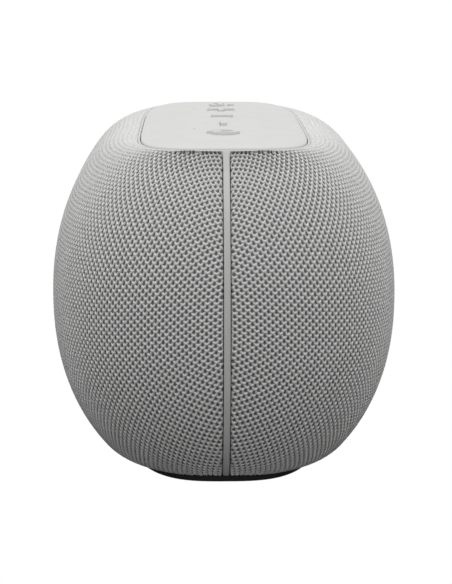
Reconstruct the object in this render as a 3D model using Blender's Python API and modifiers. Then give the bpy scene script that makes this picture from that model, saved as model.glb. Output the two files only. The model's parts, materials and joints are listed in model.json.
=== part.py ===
"""Mains-powered smart speaker: a knit-covered barrel body on a low black base, with five raised symbol keys.

The named sizes are millimetres. X is the long axis, the front faces -Y and +Z is up. The origin is the centre
of the foot ring's lower face, on the surface that the speaker stands on.
"""
import math

import bmesh
import bpy
from mathutils import Matrix, Vector

MM = 0.001
GAP = 0.3                    # clearance between touching pieces

# Barrel body: a superellipse in plan whose half sizes shrink away from the waist.
HALF_LENGTH = 117.1
HALF_DEPTH = 71.0
WAIST_Z = 66.3
BARREL_REACH = 80.9          # height above the waist where the barrel would close
BARREL_POWER = 2.16
PLAN_POWER = 3.36
END_SHARE = 0.951            # how much the ends draw in for each millimetre of the long sides
LOW_SHOULDER_Z = 9.0
LOW_CONTROL_Z = 3.7
HIGH_SHOULDER_Z = 124.0
HIGH_CONTROL_Z = 131.8
BODY_ROWS = 7
SHOULDER_ROWS = 3
HALF_STEPS = 9

# Top panel and the collar round it.
PANEL_TOP = 134.6
PANEL_HALF_LENGTH = 93.4
PANEL_HALF_WIDTH = 34.0
PANEL_POWER = 4.3
PANEL_END_DROP = 2.5
PANEL_SIDE_DROP = 3.8
PANEL_WALL = 2.2
PANEL_SKIRT = 3.4
COLLAR_OUT = 1.2
COLLAR_REVEAL = 0.6
COLLAR_SIDE_REVEAL = 0.2     # how much more of the panel's wall shows along the long sides
COLLAR_LEDGE = 3.8
COLLAR_FLOOR = 5.2
COLLAR_LEG_TOP = 126.8
RING_STEPS = 9              # points in a quarter of a panel, collar or base ring

# Base.
BASE_HALF_LENGTH = 93.8
BASE_HALF_WIDTH = 40.2
BASE_POWER = 3.0
BASE_RING = 36.0             # how wide the base's floor is, from its edge inwards
BASE_EDGE = 0.6
FOOT_HEIGHT = 0.4
BASE_TOP = 3.4
POST_X = 70.0
POST_Y = 24.0

# Skins.
FABRIC_THICKNESS = 1.0
FRAME_DEPTH = FABRIC_THICKNESS + 2 * GAP
FRAME_THICKNESS = 2.0
STRIP_HALF_WIDTH = 1.25
STRIP_THICKNESS = 3.0
SEAM = STRIP_HALF_WIDTH + GAP

# Keys.
KEY_PITCH = 28.1
KEY_RISE = 0.95
KEY_CLEARANCE = 0.3
KEY_TRAVEL = 0.6
STROKE = 2.2
KEY_FLANGE_RADIUS = 8.5
KEY_FLANGE_THICKNESS = 1.2
SWITCH_TOP = 125.6
KEY_STEM_END = SWITCH_TOP + KEY_TRAVEL + 0.4
KEY_BOARD_TOP = 121.0

# Sealed cabinet.
CABINET_HALF = 90.0
CABINET_FRONT = -46.0
CABINET_REAR = 40.0
CABINET_LOW = 22.0
CABINET_HIGH = 112.0
CABINET_WALL = 2.5
CABINET_CORNER = 14.0
SPLIT = 0.65
STANDOFF_X = 62.0
STANDOFF_Y = 9.0

# Drivers.
DRIVER_Z = 67.0
WOOFER_RADIUS = 45.0
WOOFER_HOLE = 38.5
WOOFER_SCREW_RADIUS = 41.8
TWEETER_X = 62.5
TWEETER_HOLE = 12.6
RADIATOR_Z = 72.0
RADIATOR_HOLE = 30.5

# Rear port panel.
PORT_HALF = 30.0
PORT_LOW = 20.0
PORT_HIGH = 42.0
PORT_BACK = 55.5
PORT_FACE = 57.0
PORT_Z = 31.0
INLET_X = -14.0
SERVICE_X = 9.0
MUTE_X = 21.0

# Boards that stand beside the cabinet's end walls, inside it.
BOARD_FACE_X = 84.6
BOARD_THICKNESS = 1.6
BOARD_RANGE_Y = (-28.0, 30.0)
BOARD_RANGE_Z = (36.0, 98.0)
STATUS_BOARD_FRONT = -52.0

FRONT = Matrix.Rotation(math.radians(90), 4, "X")     # turns a piece's local +Z to face -Y
REAR = Matrix.Rotation(math.radians(-90), 4, "X")     # turns a piece's local +Z to face +Y
DOWN = Matrix.Rotation(math.radians(180), 4, "X")


# ---------------------------------------------------------------- scene and materials

def clear_scene():
    for item in list(bpy.data.objects):
        bpy.data.objects.remove(item, do_unlink=True)


def new_collection(name):
    collection = bpy.data.collections.new(name)
    bpy.context.scene.collection.children.link(collection)
    return collection


clear_scene()
SPEAKER = new_collection("smart_speaker")
CUTTERS = new_collection("cutters")


def material(name, colour, roughness, metallic=0.0):
    result = bpy.data.materials.new(name)
    result.use_nodes = True
    shader = result.node_tree.nodes["Principled BSDF"]
    shader.inputs["Base Color"].default_value = (*colour, 1.0)
    shader.inputs["Roughness"].default_value = roughness
    shader.inputs["Metallic"].default_value = metallic
    return result


LIGHT_PLASTIC = material("light_plastic", (0.70, 0.69, 0.68), 0.5)
KNIT = material("light_knit", (0.55, 0.55, 0.54), 0.95)
BLACK_PLASTIC = material("black_plastic", (0.015, 0.015, 0.016), 0.45)
DARK_RUBBER = material("dark_rubber", (0.02, 0.02, 0.02), 0.85)
FRAME_PLASTIC = material("frame_plastic", (0.25, 0.25, 0.25), 0.6)
CABINET_PLASTIC = material("cabinet_plastic", (0.04, 0.04, 0.045), 0.55)
STEEL = material("plated_steel", (0.55, 0.55, 0.56), 0.35, 1.0)
FERRITE = material("ferrite", (0.05, 0.05, 0.055), 0.6)
CONE_PAPER = material("cone_paper", (0.03, 0.03, 0.03), 0.8)
SPIDER_CLOTH = material("spider_cloth", (0.45, 0.28, 0.10), 0.9)
DOME_SILK = material("dome_silk", (0.06, 0.06, 0.07), 0.5)
ALUMINIUM = material("aluminium", (0.75, 0.75, 0.76), 0.35, 1.0)
BOARD_GREEN = material("board_green", (0.02, 0.16, 0.07), 0.5)
COPPER_TAPE = material("copper_tape", (0.72, 0.38, 0.18), 0.4, 1.0)
YELLOW_TAPE = material("yellow_tape", (0.75, 0.58, 0.10), 0.5)
CABLE_SHEATH = material("cable_sheath", (0.03, 0.03, 0.03), 0.6)


# ---------------------------------------------------------------- objects

def add_object(name, mesh, finish, cutter=False):
    item = bpy.data.objects.new(name, mesh)
    if finish is not None and not mesh.materials:
        mesh.materials.append(finish)
    if cutter:
        item.hide_render = True
        item.display_type = "WIRE"
        CUTTERS.objects.link(item)
    else:
        SPEAKER.objects.link(item)
    return item


def from_bmesh(name, shape, finish=None, cutter=False):
    bmesh.ops.recalc_face_normals(shape, faces=shape.faces)
    return from_open_bmesh(name, shape, finish, cutter)


def from_open_bmesh(name, shape, finish=None, cutter=False):
    mesh = bpy.data.meshes.new(name)
    shape.to_mesh(mesh)
    shape.free()
    mesh.shade_smooth()
    mesh.set_sharp_from_angle(angle=math.radians(35))
    return add_object(name, mesh, finish, cutter)


def move_origin(item, point):
    """Puts the object's origin at a world point without moving its shape."""
    offset = Vector(point) * MM
    item.data.transform(Matrix.Translation(-offset))
    item.location = offset


def boolean(target, other, operation):
    step = target.modifiers.new(operation.lower(), "BOOLEAN")
    step.operation = operation
    step.solver = "EXACT"
    step.object = other


def cut(target, *cutters):
    for cutter in cutters:
        boolean(target, cutter, "DIFFERENCE")


def join(target, *others):
    for other in others:
        boolean(target, other, "UNION")


def box(name, low, high, finish=None, cutter=False, bevel=0.0):
    shape = bmesh.new()
    bmesh.ops.create_cube(shape, size=1.0)
    size = [(h - l) * MM for l, h in zip(low, high)]
    middle = [(h + l) * MM / 2 for l, h in zip(low, high)]
    bmesh.ops.scale(shape, vec=size, verts=shape.verts)
    bmesh.ops.translate(shape, vec=middle, verts=shape.verts)
    if bevel:
        bmesh.ops.bevel(shape, geom=shape.edges[:], offset=bevel * MM, segments=1, affect="EDGES")
    return from_bmesh(name, shape, finish, cutter)


def boxes(name, ranges, finish=None, cutter=True):
    """Several separate boxes in one object."""
    shape = bmesh.new()
    for low, high in ranges:
        made = bmesh.ops.create_cube(shape, size=1.0)["verts"]
        bmesh.ops.scale(shape, vec=[(h - l) * MM for l, h in zip(low, high)], verts=made)
        bmesh.ops.translate(shape, vec=[(h + l) * MM / 2 for l, h in zip(low, high)], verts=made)
    return from_bmesh(name, shape, finish, cutter)


def cylinders(name, places, radius, low, high, turn=None, finish=None, cutter=False, segments=16):
    """Separate upright cylinders at (x, y) places, then turned as a group."""
    shape = bmesh.new()
    for x, y in places:
        made = bmesh.ops.create_cone(shape, cap_ends=True, segments=segments, radius1=radius * MM,
                                     radius2=radius * MM, depth=(high - low) * MM)["verts"]
        bmesh.ops.translate(shape, vec=(x * MM, y * MM, (low + high) * MM / 2), verts=made)
    if turn is not None:
        bmesh.ops.transform(shape, matrix=turn, verts=shape.verts)
    return from_bmesh(name, shape, finish, cutter)


def turned(name, profile, finish, place, turn=None, segments=20, closed=False, cutter=False):
    """A turned piece. The profile runs over the top, down the outer side and back under."""
    shape = bmesh.new()
    points = [shape.verts.new((r * MM, 0.0, z * MM)) for r, z in profile]
    for first, second in zip(points, points[1:]):
        shape.edges.new((first, second))
    if closed:
        shape.edges.new((points[-1], points[0]))
    item = from_open_bmesh(name, shape, finish, cutter)
    screw = item.modifiers.new("turn", "SCREW")
    screw.steps = segments
    screw.render_steps = segments
    screw.use_merge_vertices = True
    screw.merge_threshold = 0.00001
    screw.use_smooth_shade = True
    if turn is not None:
        item.rotation_euler = turn.to_euler()
    item.location = Vector(place) * MM
    return item


def screws(name, places, head_radius, shank_radius, head_low, head_high, tip, turn=None):
    """Cap screws with their heads towards local +Z, one object each on a shared mesh."""
    profile = [(0.0, head_high), (head_radius, head_high), (head_radius, head_low), (shank_radius, head_low),
               (shank_radius, tip), (0.0, tip)]
    mesh = None
    for number, place in enumerate(places, start=1):
        screw = turned(f"{name}_{number}", profile, STEEL, place, turn, segments=12)
        if mesh is not None:
            screw.data = mesh
        mesh = screw.data


def bridge_rings(shape, rings, closed=True):
    for lower, upper in zip(rings, rings[1:]):
        count = len(lower) if closed else len(lower) - 1
        for i in range(count):
            j = (i + 1) % len(lower)
            shape.faces.new((lower[i], lower[j], upper[j], upper[i]))


def fan_cap(shape, ring):
    middle = sum((v.co for v in ring), Vector()) / len(ring)
    centre = shape.verts.new(middle)
    for first, second in zip(ring, ring[1:] + ring[:1]):
        shape.faces.new((first, second, centre))


def loft(name, rings, finish, ends="cap", cutter=False):
    """A closed loft through rings of (x, y, z) points; ends are capped, or joined into a loop."""
    shape = bmesh.new()
    made = [[shape.verts.new(Vector(p) * MM) for p in ring] for ring in rings]
    bridge_rings(shape, made)
    if ends == "loop":
        bridge_rings(shape, [made[-1], made[0]])
    else:
        fan_cap(shape, made[0])
        fan_cap(shape, made[-1])
    return from_bmesh(name, shape, finish, cutter)


def flat_outline(name, loops, low, high, finish=None, cutter=False, turn=None):
    """Extrudes a flat outline, with any inner loops as holes, between two heights."""
    curve = bpy.data.curves.new(name, "CURVE")
    curve.dimensions = "2D"
    curve.fill_mode = "BOTH"
    curve.extrude = (high - low) * MM / 2
    for loop in loops:
        spline = curve.splines.new("POLY")
        spline.points.add(len(loop) - 1)
        spline.use_cyclic_u = True
        for point, (x, y) in zip(spline.points, loop):
            point.co = (x * MM, y * MM, 0.0, 1.0)
    source = bpy.data.objects.new(name + "_outline", curve)
    CUTTERS.objects.link(source)
    bpy.context.view_layer.update()
    mesh = bpy.data.meshes.new_from_object(source.evaluated_get(bpy.context.evaluated_depsgraph_get()))
    bpy.data.objects.remove(source)
    shape = bmesh.new()
    shape.from_mesh(mesh)
    bpy.data.meshes.remove(mesh)
    bmesh.ops.remove_doubles(shape, verts=shape.verts, dist=0.00001)
    bmesh.ops.translate(shape, vec=(0.0, 0.0, (low + high) * MM / 2), verts=shape.verts)
    if turn is not None:
        bmesh.ops.transform(shape, matrix=turn, verts=shape.verts)
    return from_bmesh(name, shape, finish, cutter)


def cable(name, points, radius):
    curve = bpy.data.curves.new(name, "CURVE")
    curve.dimensions = "3D"
    curve.bevel_depth = radius * MM
    curve.bevel_resolution = 2
    curve.use_fill_caps = True
    spline = curve.splines.new("POLY")
    spline.points.add(len(points) - 1)
    for point, place in zip(spline.points, points):
        point.co = (*(Vector(place) * MM), 1.0)
    item = bpy.data.objects.new(name, curve)
    curve.materials.append(CABLE_SHEATH)
    SPEAKER.objects.link(item)
    return item


# ---------------------------------------------------------------- outlines

def quadrant(half_x, half_y, power, steps, edge=0.0):
    """Evenly spaced points on a quarter superellipse, from y = edge to the Y axis."""
    start = math.asin((edge / half_y) ** (power / 2))
    fine = 240
    points = []
    for i in range(fine + 1):
        t = start + (math.pi / 2 - start) * i / fine
        x = half_x * max(math.cos(t), 0.0) ** (2 / power)
        y = half_y * math.sin(t) ** (2 / power)
        points.append((x, y))
    points[-1] = (0.0, half_y)
    lengths = [0.0]
    for first, second in zip(points, points[1:]):
        lengths.append(lengths[-1] + math.dist(first, second))
    result = []
    index = 0
    for k in range(steps + 1):
        wanted = lengths[-1] * k / steps
        while index < fine - 1 and lengths[index + 1] < wanted:
            index += 1
        share = (wanted - lengths[index]) / (lengths[index + 1] - lengths[index])
        (x0, y0), (x1, y1) = points[index], points[index + 1]
        result.append((x0 + (x1 - x0) * share, y0 + (y1 - y0) * share))
    return result


def full_loop(half_x, half_y, power, steps=RING_STEPS):
    q = quadrant(half_x, half_y, power, steps)
    right = q[:-1]
    left = [(-x, y) for x, y in reversed(q[1:])]
    return right + left + [(-x, -y) for x, y in right + left]


def half_loop(half_x, half_y, power, side):
    """One side of a superellipse, counter-clockwise, ending at the seams; side -1 is the front."""
    q = quadrant(half_x, half_y, power, HALF_STEPS, SEAM)
    rear = q + [(-x, y) for x, y in reversed(q[:-1])]
    return [(x * side, y * side) for x, y in rear]


def barrel(z):
    """Half length and half depth of the body at a height."""
    rise = abs((z - WAIST_Z) / BARREL_REACH)
    half_depth = HALF_DEPTH * (1 - rise ** BARREL_POWER) ** (1 / BARREL_POWER)
    return HALF_LENGTH - END_SHARE * (HALF_DEPTH - half_depth), half_depth


def panel_height(x, y):
    """The panel's crown: nearly flat in the middle, and falling towards its ends and sides."""
    end_fall = PANEL_END_DROP * (abs(x) / PANEL_HALF_LENGTH) ** 2
    side_fall = PANEL_SIDE_DROP * (abs(y) / PANEL_HALF_WIDTH) ** 1.6
    return PANEL_TOP - (end_fall ** 3 + side_fall ** 3) ** (1 / 3)


def collar_height(x, y):
    return panel_height(x, y) - COLLAR_REVEAL - COLLAR_SIDE_REVEAL * (abs(y) / PANEL_HALF_WIDTH) ** 3


def arc(radius, start, end, steps, centre=(0.0, 0.0)):
    return [(centre[0] + radius * math.cos(math.radians(start + (end - start) * i / steps)),
             centre[1] + radius * math.sin(math.radians(start + (end - start) * i / steps)))
            for i in range(steps + 1)]


def rounded_polygon(corners, radius, steps=3):
    """A convex counter-clockwise polygon with each corner rounded."""
    result = []
    count = len(corners)
    for i, corner in enumerate(corners):
        here = Vector(corner)
        before = (Vector(corners[i - 1]) - here).normalized()
        after = (Vector(corners[(i + 1) % count]) - here).normalized()
        half = before.angle(after) / 2
        centre = here + (before + after).normalized() * radius / math.sin(half)
        first = here + before * radius / math.tan(half) - centre
        turn = math.pi - 2 * half
        for k in range(steps + 1):
            angle = turn * k / steps
            result.append((centre.x + first.x * math.cos(angle) - first.y * math.sin(angle),
                           centre.y + first.x * math.sin(angle) + first.y * math.cos(angle)))
    return result


def rounded_bar(half_x, half_y, radius, centre=(0.0, 0.0)):
    corners = [(-half_x, -half_y), (half_x, -half_y), (half_x, half_y), (-half_x, half_y)]
    return rounded_polygon([(x + centre[0], y + centre[1]) for x, y in corners], radius)


def arc_band(middle, width, start, end, steps, centre=(0.0, 0.0)):
    """The outline of a broad arc with square ends."""
    outer = arc(middle + width / 2, start, end, steps, centre)
    inner = arc(middle - width / 2, end, start, steps, centre)
    return outer + inner


# ---------------------------------------------------------------- key symbols

def grown_angle(radius, grow):
    return math.degrees(grow / radius)


def power_symbol(grow):
    middle = 4.85
    opening = 30.0 - grown_angle(middle, grow)
    ring = arc_band(middle, STROKE + 2 * grow, 90 + opening, 450 - opening, 14)
    bar = rounded_bar(STROKE / 2 + grow, 2.75 + grow, 0.3, (0.0, 4.15))
    return [ring, bar]


def minus_symbol(grow):
    return [rounded_bar(6.0 + grow, STROKE / 2 + grow, 0.3)]


def plus_symbol(grow):
    long = 6.1 + grow
    short = STROKE / 2 + grow
    return [rounded_bar(long, short, 0.3), rounded_bar(short, long, 0.3)]


def play_symbol(grow):
    reach = 6.24 + 2 * grow
    corners = [(reach * math.cos(math.radians(a)), reach * math.sin(math.radians(a))) for a in (0, 120, 240)]
    return [rounded_polygon(corners, 0.9)]


def wireless_symbol(grow):
    foot = (0.0, -5.0)
    loops = [arc(1.45 + grow, 0, 330, 11, foot)]
    for middle in (5.0, 8.9):
        spread = 45 + grown_angle(middle, grow)
        loops.append(arc_band(middle, STROKE - 0.2 + 2 * grow, 90 - spread, 90 + spread, 8, foot))
    return loops


KEYS = [("power_key", power_symbol), ("volume_down_key", minus_symbol), ("play_key", play_symbol),
        ("volume_up_key", plus_symbol), ("wireless_key", wireless_symbol)]


def key_x(index):
    return (index - (len(KEYS) - 1) / 2) * KEY_PITCH


def shifted(loops, x):
    return [[(px + x, py) for px, py in loop] for loop in loops]


def make_key(index, name, symbol):
    x = key_x(index)
    flange_top = panel_height(abs(x) + KEY_FLANGE_RADIUS, KEY_FLANGE_RADIUS) - PANEL_WALL - GAP - 0.1
    flange_low = flange_top - KEY_FLANGE_THICKNESS
    key = cylinders(name, [(x, 0.0)], KEY_FLANGE_RADIUS, flange_low, flange_top, finish=LIGHT_PLASTIC,
                    segments=16)
    stem = cylinders(name + "_stem", [(x, 0.0)], 2.0, KEY_STEM_END, flange_low + 0.4, cutter=True, segments=12)
    join(key, stem)
    for part, loop in enumerate(shifted(symbol(0.0), x)):
        raised = flat_outline(f"{name}_symbol_{part}", [loop], flange_top - 0.5,
                              panel_height(x, 0.0) + KEY_RISE, cutter=True)
        join(key, raised)
    move_origin(key, (x, 0.0, flange_top))
    return key


def cut_key_openings(panel):
    for index, (name, symbol) in enumerate(KEYS):
        for part, loop in enumerate(shifted(symbol(KEY_CLEARANCE), key_x(index))):
            cut(panel, flat_outline(f"{name}_opening_{part}", [loop], 120.0, 140.0, cutter=True))


# ---------------------------------------------------------------- outer shell

def panel_ring(offset, drop, share=1.0):
    """A ring of the panel: its outline moved out by offset, scaled by share, lowered by drop."""
    outline = full_loop(PANEL_HALF_LENGTH + offset, PANEL_HALF_WIDTH + offset, PANEL_POWER)
    return [(x * share, y * share, panel_height(x * share, y * share) - drop) for x, y in outline]


def edge_ring(offset, drop):
    """A ring below the panel's edge, lowered by drop from the edge and not from the crown above it."""
    outline = full_loop(PANEL_HALF_LENGTH + offset, PANEL_HALF_WIDTH + offset, PANEL_POWER)
    edge = full_loop(PANEL_HALF_LENGTH, PANEL_HALF_WIDTH, PANEL_POWER)
    return [(x, y, panel_height(ex, ey) - drop) for (x, y), (ex, ey) in zip(outline, edge)]


def make_top_panel():
    shares = (0.04, 0.3, 0.65, 0.88)
    rings = [panel_ring(0.0, 0.0, share) for share in shares]
    rings += [edge_ring(-0.6, 0.0), edge_ring(0.0, 0.6), edge_ring(0.0, PANEL_SKIRT)]
    rings += [edge_ring(-1.5, PANEL_SKIRT), panel_ring(-1.7, PANEL_WALL)]
    rings += [panel_ring(0.0, PANEL_WALL, share) for share in (0.85, 0.45, 0.04)]
    panel = loft("top_panel", rings, LIGHT_PLASTIC)
    cut_key_openings(panel)
    cut(panel, cylinders("microphone_holes", microphone_places(), 0.6, 120.0, 140.0, cutter=True, segments=8))
    return panel


def microphone_places():
    return [(-KEY_PITCH * 1.5, 12.0), (KEY_PITCH * 1.5, 12.0)]


def collar_top_ring(offset):
    outline = full_loop(PANEL_HALF_LENGTH + offset, PANEL_HALF_WIDTH + offset, PANEL_POWER)
    edge = full_loop(PANEL_HALF_LENGTH, PANEL_HALF_WIDTH, PANEL_POWER)
    return [(x, y, collar_height(ex, ey)) for (x, y), (ex, ey) in zip(outline, edge)]


def make_strip(name, side):
    """The spine at one end, from the base to the collar, as an operand for the trim frame."""
    inner_limit = PANEL_HALF_LENGTH + GAP + 0.2
    rings = []
    rows = 9
    for row in range(rows + 1):
        z = 4.6 + (128.9 - 4.6) * row / rows
        outer = barrel(z)[0]
        inner = max(outer - STRIP_THICKNESS, inner_limit)
        rings.append([(side * inner, -STRIP_HALF_WIDTH, z), (side * outer, -STRIP_HALF_WIDTH, z),
                      (side * outer, STRIP_HALF_WIDTH, z), (side * inner, STRIP_HALF_WIDTH, z)])
    return loft(name, rings, None, cutter=True)


def make_trim_frame():
    """The collar round the panel and the two end strips are one moulding, with four legs under it."""
    rings = [collar_top_ring(GAP + 0.05), collar_top_ring(COLLAR_OUT), edge_ring(COLLAR_OUT, COLLAR_FLOOR),
             edge_ring(-5.0, COLLAR_FLOOR), edge_ring(-5.0, COLLAR_LEDGE), edge_ring(GAP + 0.05, COLLAR_LEDGE)]
    trim = loft("trim_frame", rings, LIGHT_PLASTIC, ends="loop")
    legs = [(sx * 80.0, sy * 26.0) for sx in (-1, 1) for sy in (-1, 1)]
    join(trim, make_strip("strip_left", -1), make_strip("strip_right", 1))
    join(trim, cylinders("trim_legs", legs, 2.2, CABINET_HIGH + GAP, COLLAR_LEG_TOP, cutter=True, segments=10))
    return trim


def blend(first, control, last, share):
    """A point row on the quadratic curve between three rows."""
    rows = []
    for p, q, r in zip(first, control, last):
        rows.append(tuple((1 - share) ** 2 * p[k] + 2 * share * (1 - share) * q[k] + share ** 2 * r[k]
                          for k in range(3)))
    return rows


def body_row(z, side):
    return [(x, y, z) for x, y in half_loop(*barrel(z), PLAN_POWER, side)]


def skin_rows(side):
    """The body's outer surface on one side, as rows from the base edge up to the collar."""
    low_edge = [(x, y, BASE_TOP - 0.1)
                for x, y in half_loop(BASE_HALF_LENGTH + 0.2, BASE_HALF_WIDTH + 0.2, BASE_POWER, side)]
    edge = half_loop(PANEL_HALF_LENGTH, PANEL_HALF_WIDTH, PANEL_POWER, side)
    high_edge = [(x, y, collar_height(ex, ey) - 0.2) for (x, y), (ex, ey) in
                 zip(half_loop(PANEL_HALF_LENGTH + 1.0, PANEL_HALF_WIDTH + 1.0, PANEL_POWER, side), edge)]
    low = body_row(LOW_SHOULDER_Z, side)
    high = body_row(HIGH_SHOULDER_Z, side)
    low_control = body_row(LOW_CONTROL_Z, side)
    half_length, half_depth = barrel(HIGH_CONTROL_Z)
    half_length = max(half_length, PANEL_HALF_LENGTH + 1.0)
    high_control = [(x, y, HIGH_CONTROL_Z) for x, y in half_loop(half_length, half_depth, PLAN_POWER, side)]
    rows = [blend(low_edge, low_control, low, k / SHOULDER_ROWS) for k in range(SHOULDER_ROWS)]
    for k in range(BODY_ROWS):
        rows.append(body_row(LOW_SHOULDER_Z + (HIGH_SHOULDER_Z - LOW_SHOULDER_Z) * k / (BODY_ROWS - 1), side))
    rows += [blend(high, high_control, high_edge, (k + 1) / SHOULDER_ROWS) for k in range(SHOULDER_ROWS)]
    return rows


def make_skin(name, side, depth, thickness, finish):
    """A half skin set in from the body's surface by depth; Solidify gives it its thickness."""
    shape = bmesh.new()
    rows = [[shape.verts.new(Vector(p) * MM) for p in row] for row in skin_rows(side)]
    bridge_rings(shape, rows, closed=False)
    shape.normal_update()
    moves = [(v, v.normal.copy()) for v in shape.verts]
    for vertex, normal in moves:
        vertex.co -= Vector((normal.x, 0.0 if abs(vertex.co.y) < 2 * MM else normal.y, normal.z)) * depth * MM
    skin = from_open_bmesh(name, shape, finish)
    wall = skin.modifiers.new("wall", "SOLIDIFY")
    wall.thickness = thickness * MM
    wall.offset = -1.0
    return skin


def collar_clearance():
    outline = full_loop(PANEL_HALF_LENGTH + COLLAR_OUT + GAP, PANEL_HALF_WIDTH + COLLAR_OUT + GAP, PANEL_POWER)
    return flat_outline("collar_clearance", [outline], 118.0, 140.0, cutter=True)


def base_clearance():
    outline = full_loop(BASE_HALF_LENGTH + GAP + 0.1, BASE_HALF_WIDTH + GAP + 0.1, BASE_POWER)
    return flat_outline("base_clearance", [outline], -2.0, 10.0, cutter=True)


def sound_slots(name, side, low):
    """Upright slots that let the sound out through a grille frame."""
    ranges = []
    for k in range(-4, 5):
        near, far = sorted((side * 30.0, side * 90.0))
        ranges.append(((k * 19.0 - 4.0, near, low), (k * 19.0 + 4.0, far, 104.0)))
    return boxes(name, ranges)


def make_skins():
    collar = collar_clearance()
    base = base_clearance()
    port = box("port_clearance", (-PORT_HALF, 40.0, PORT_LOW), (PORT_HALF, 90.0, PORT_HIGH), cutter=True)
    for name, side in (("front", -1), ("rear", 1)):
        fabric = make_skin("fabric_" + name, side, 0.0, FABRIC_THICKNESS, KNIT)
        frame = make_skin("grille_frame_" + name, side, FRAME_DEPTH, FRAME_THICKNESS, FRAME_PLASTIC)
        cut(fabric, collar, base)
        cut(frame, collar, base)
        if side > 0:
            cut(fabric, port)
            cut(frame, port)
        cut(frame, sound_slots("slots_" + name, side, 30.0 if side < 0 else 50.0))


def base_ring(offset, z):
    outline = full_loop(BASE_HALF_LENGTH + offset, BASE_HALF_WIDTH + offset, BASE_POWER)
    return [(x, y, z) for x, y in outline]


def base_posts():
    return [(sx * POST_X, sy * POST_Y) for sx in (-1, 1) for sy in (-1, 1)]


def make_base():
    low = FOOT_HEIGHT + GAP
    floor = low + 2.0
    rings = [base_ring(-BASE_RING, low), base_ring(-BASE_EDGE, low), base_ring(0.0, low + BASE_EDGE),
             base_ring(0.0, BASE_TOP), base_ring(-3.0, BASE_TOP), base_ring(-3.0, 7.0), base_ring(-5.0, 7.0),
             base_ring(-5.0, floor), base_ring(-BASE_RING, floor)]
    base = loft("base_cover", rings, BLACK_PLASTIC)
    join(base, cylinders("base_posts", base_posts(), 4.5, floor - 0.5, CABINET_LOW - GAP, cutter=True))
    cut(base, cylinders("base_bores", base_posts(), 2.0, 0.0, 30.0, cutter=True, segments=12))
    cut(base, cylinders("base_counterbores", base_posts(), 3.6, 0.0, 6.0, cutter=True))
    outer = full_loop(BASE_HALF_LENGTH - 6.0, BASE_HALF_WIDTH - 6.0, BASE_POWER)
    inner = full_loop(BASE_HALF_LENGTH - 13.0, BASE_HALF_WIDTH - 13.0, BASE_POWER)
    flat_outline("foot_ring", [outer, inner], 0.0, FOOT_HEIGHT, finish=DARK_RUBBER)
    screws("base_screw", [(x, y, 5.0) for x, y in base_posts()], 3.0, 1.5, 0.0, 1.7, -21.0, DOWN)


# ---------------------------------------------------------------- key electronics

def make_key_parts():
    """The keys, and the board with its five soldered switches and two microphones."""
    for index, (name, symbol) in enumerate(KEYS):
        make_key(index, name, symbol)
    board = box("key_board", (-72.0, -14.0, KEY_BOARD_TOP - 1.6), (72.0, 14.0, KEY_BOARD_TOP), BOARD_GREEN)
    cut(board, cylinders("key_board_holes", standoff_places(), 1.5, 100.0, 130.0, cutter=True, segments=10))
    solder = KEY_BOARD_TOP - 0.4
    parts = [((key_x(i) - 3.0, -3.0, solder), (key_x(i) + 3.0, 3.0, 124.6)) for i in range(len(KEYS))]
    parts += [((x - 2.0, y - 1.5, solder), (x + 2.0, y + 1.5, KEY_BOARD_TOP + 1.2)) for x, y in microphone_places()]
    join(board, boxes("soldered_parts", parts))
    plungers = [(key_x(i), 0.0) for i in range(len(KEYS))]
    join(board, cylinders("key_plungers", plungers, 1.6, 124.0, SWITCH_TOP, cutter=True, segments=10))


def standoff_places(side=None):
    places = [(sx * STANDOFF_X, sy * STANDOFF_Y) for sx in (-1, 1) for sy in (-1, 1)]
    return [p for p in places if side is None or p[1] * side > 0]


# ---------------------------------------------------------------- cabinet

def cabinet_outline(half_x, y_open, y_far, corner):
    """Half a cabinet in plan: square at the split, rounded at the far corners."""
    side = 1 if y_far > y_open else -1
    inset = y_far - side * corner
    right = arc(corner, 0, 90, 4, (half_x - corner, 0.0))
    right = [(x, inset + side * y) for x, y in right]
    left = [(-x, y) for x, y in reversed(right)]
    loop = [(half_x, y_open)] + right + left + [(-half_x, y_open)]
    return loop if side > 0 else loop[::-1]


def make_cabinet_half(name, side, far):
    half = flat_outline(name, [cabinet_outline(CABINET_HALF, side * SPLIT, far, CABINET_CORNER)],
                        CABINET_LOW, CABINET_HIGH, finish=CABINET_PLASTIC)
    hollow = flat_outline(name + "_hollow", [cabinet_outline(CABINET_HALF - CABINET_WALL, -side * 5.0,
                                                             far - side * CABINET_WALL,
                                                             CABINET_CORNER - CABINET_WALL)],
                          CABINET_LOW + CABINET_WALL, CABINET_HIGH - CABINET_WALL, cutter=True)
    cut(half, hollow)
    rest = KEY_BOARD_TOP - 1.6 - GAP
    join(half, cylinders(name + "_standoffs", standoff_places(side), 3.0, CABINET_HIGH - 1.0, rest, cutter=True,
                         segments=12))
    join(half, cylinders(name + "_pegs", standoff_places(side), 1.1, rest - 1.0, KEY_BOARD_TOP + 0.8, cutter=True,
                         segments=8))
    posts = [p for p in base_posts() if p[1] * side > 0]
    cut(half, cylinders(name + "_base_bores", posts, 2.0, 0.0, 30.0, cutter=True, segments=10))
    return half


def woofer_screw_places(radius, height):
    return [(radius * math.cos(math.radians(a)), height + radius * math.sin(math.radians(a)))
            for a in (45, 135, 225, 315)]


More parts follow.
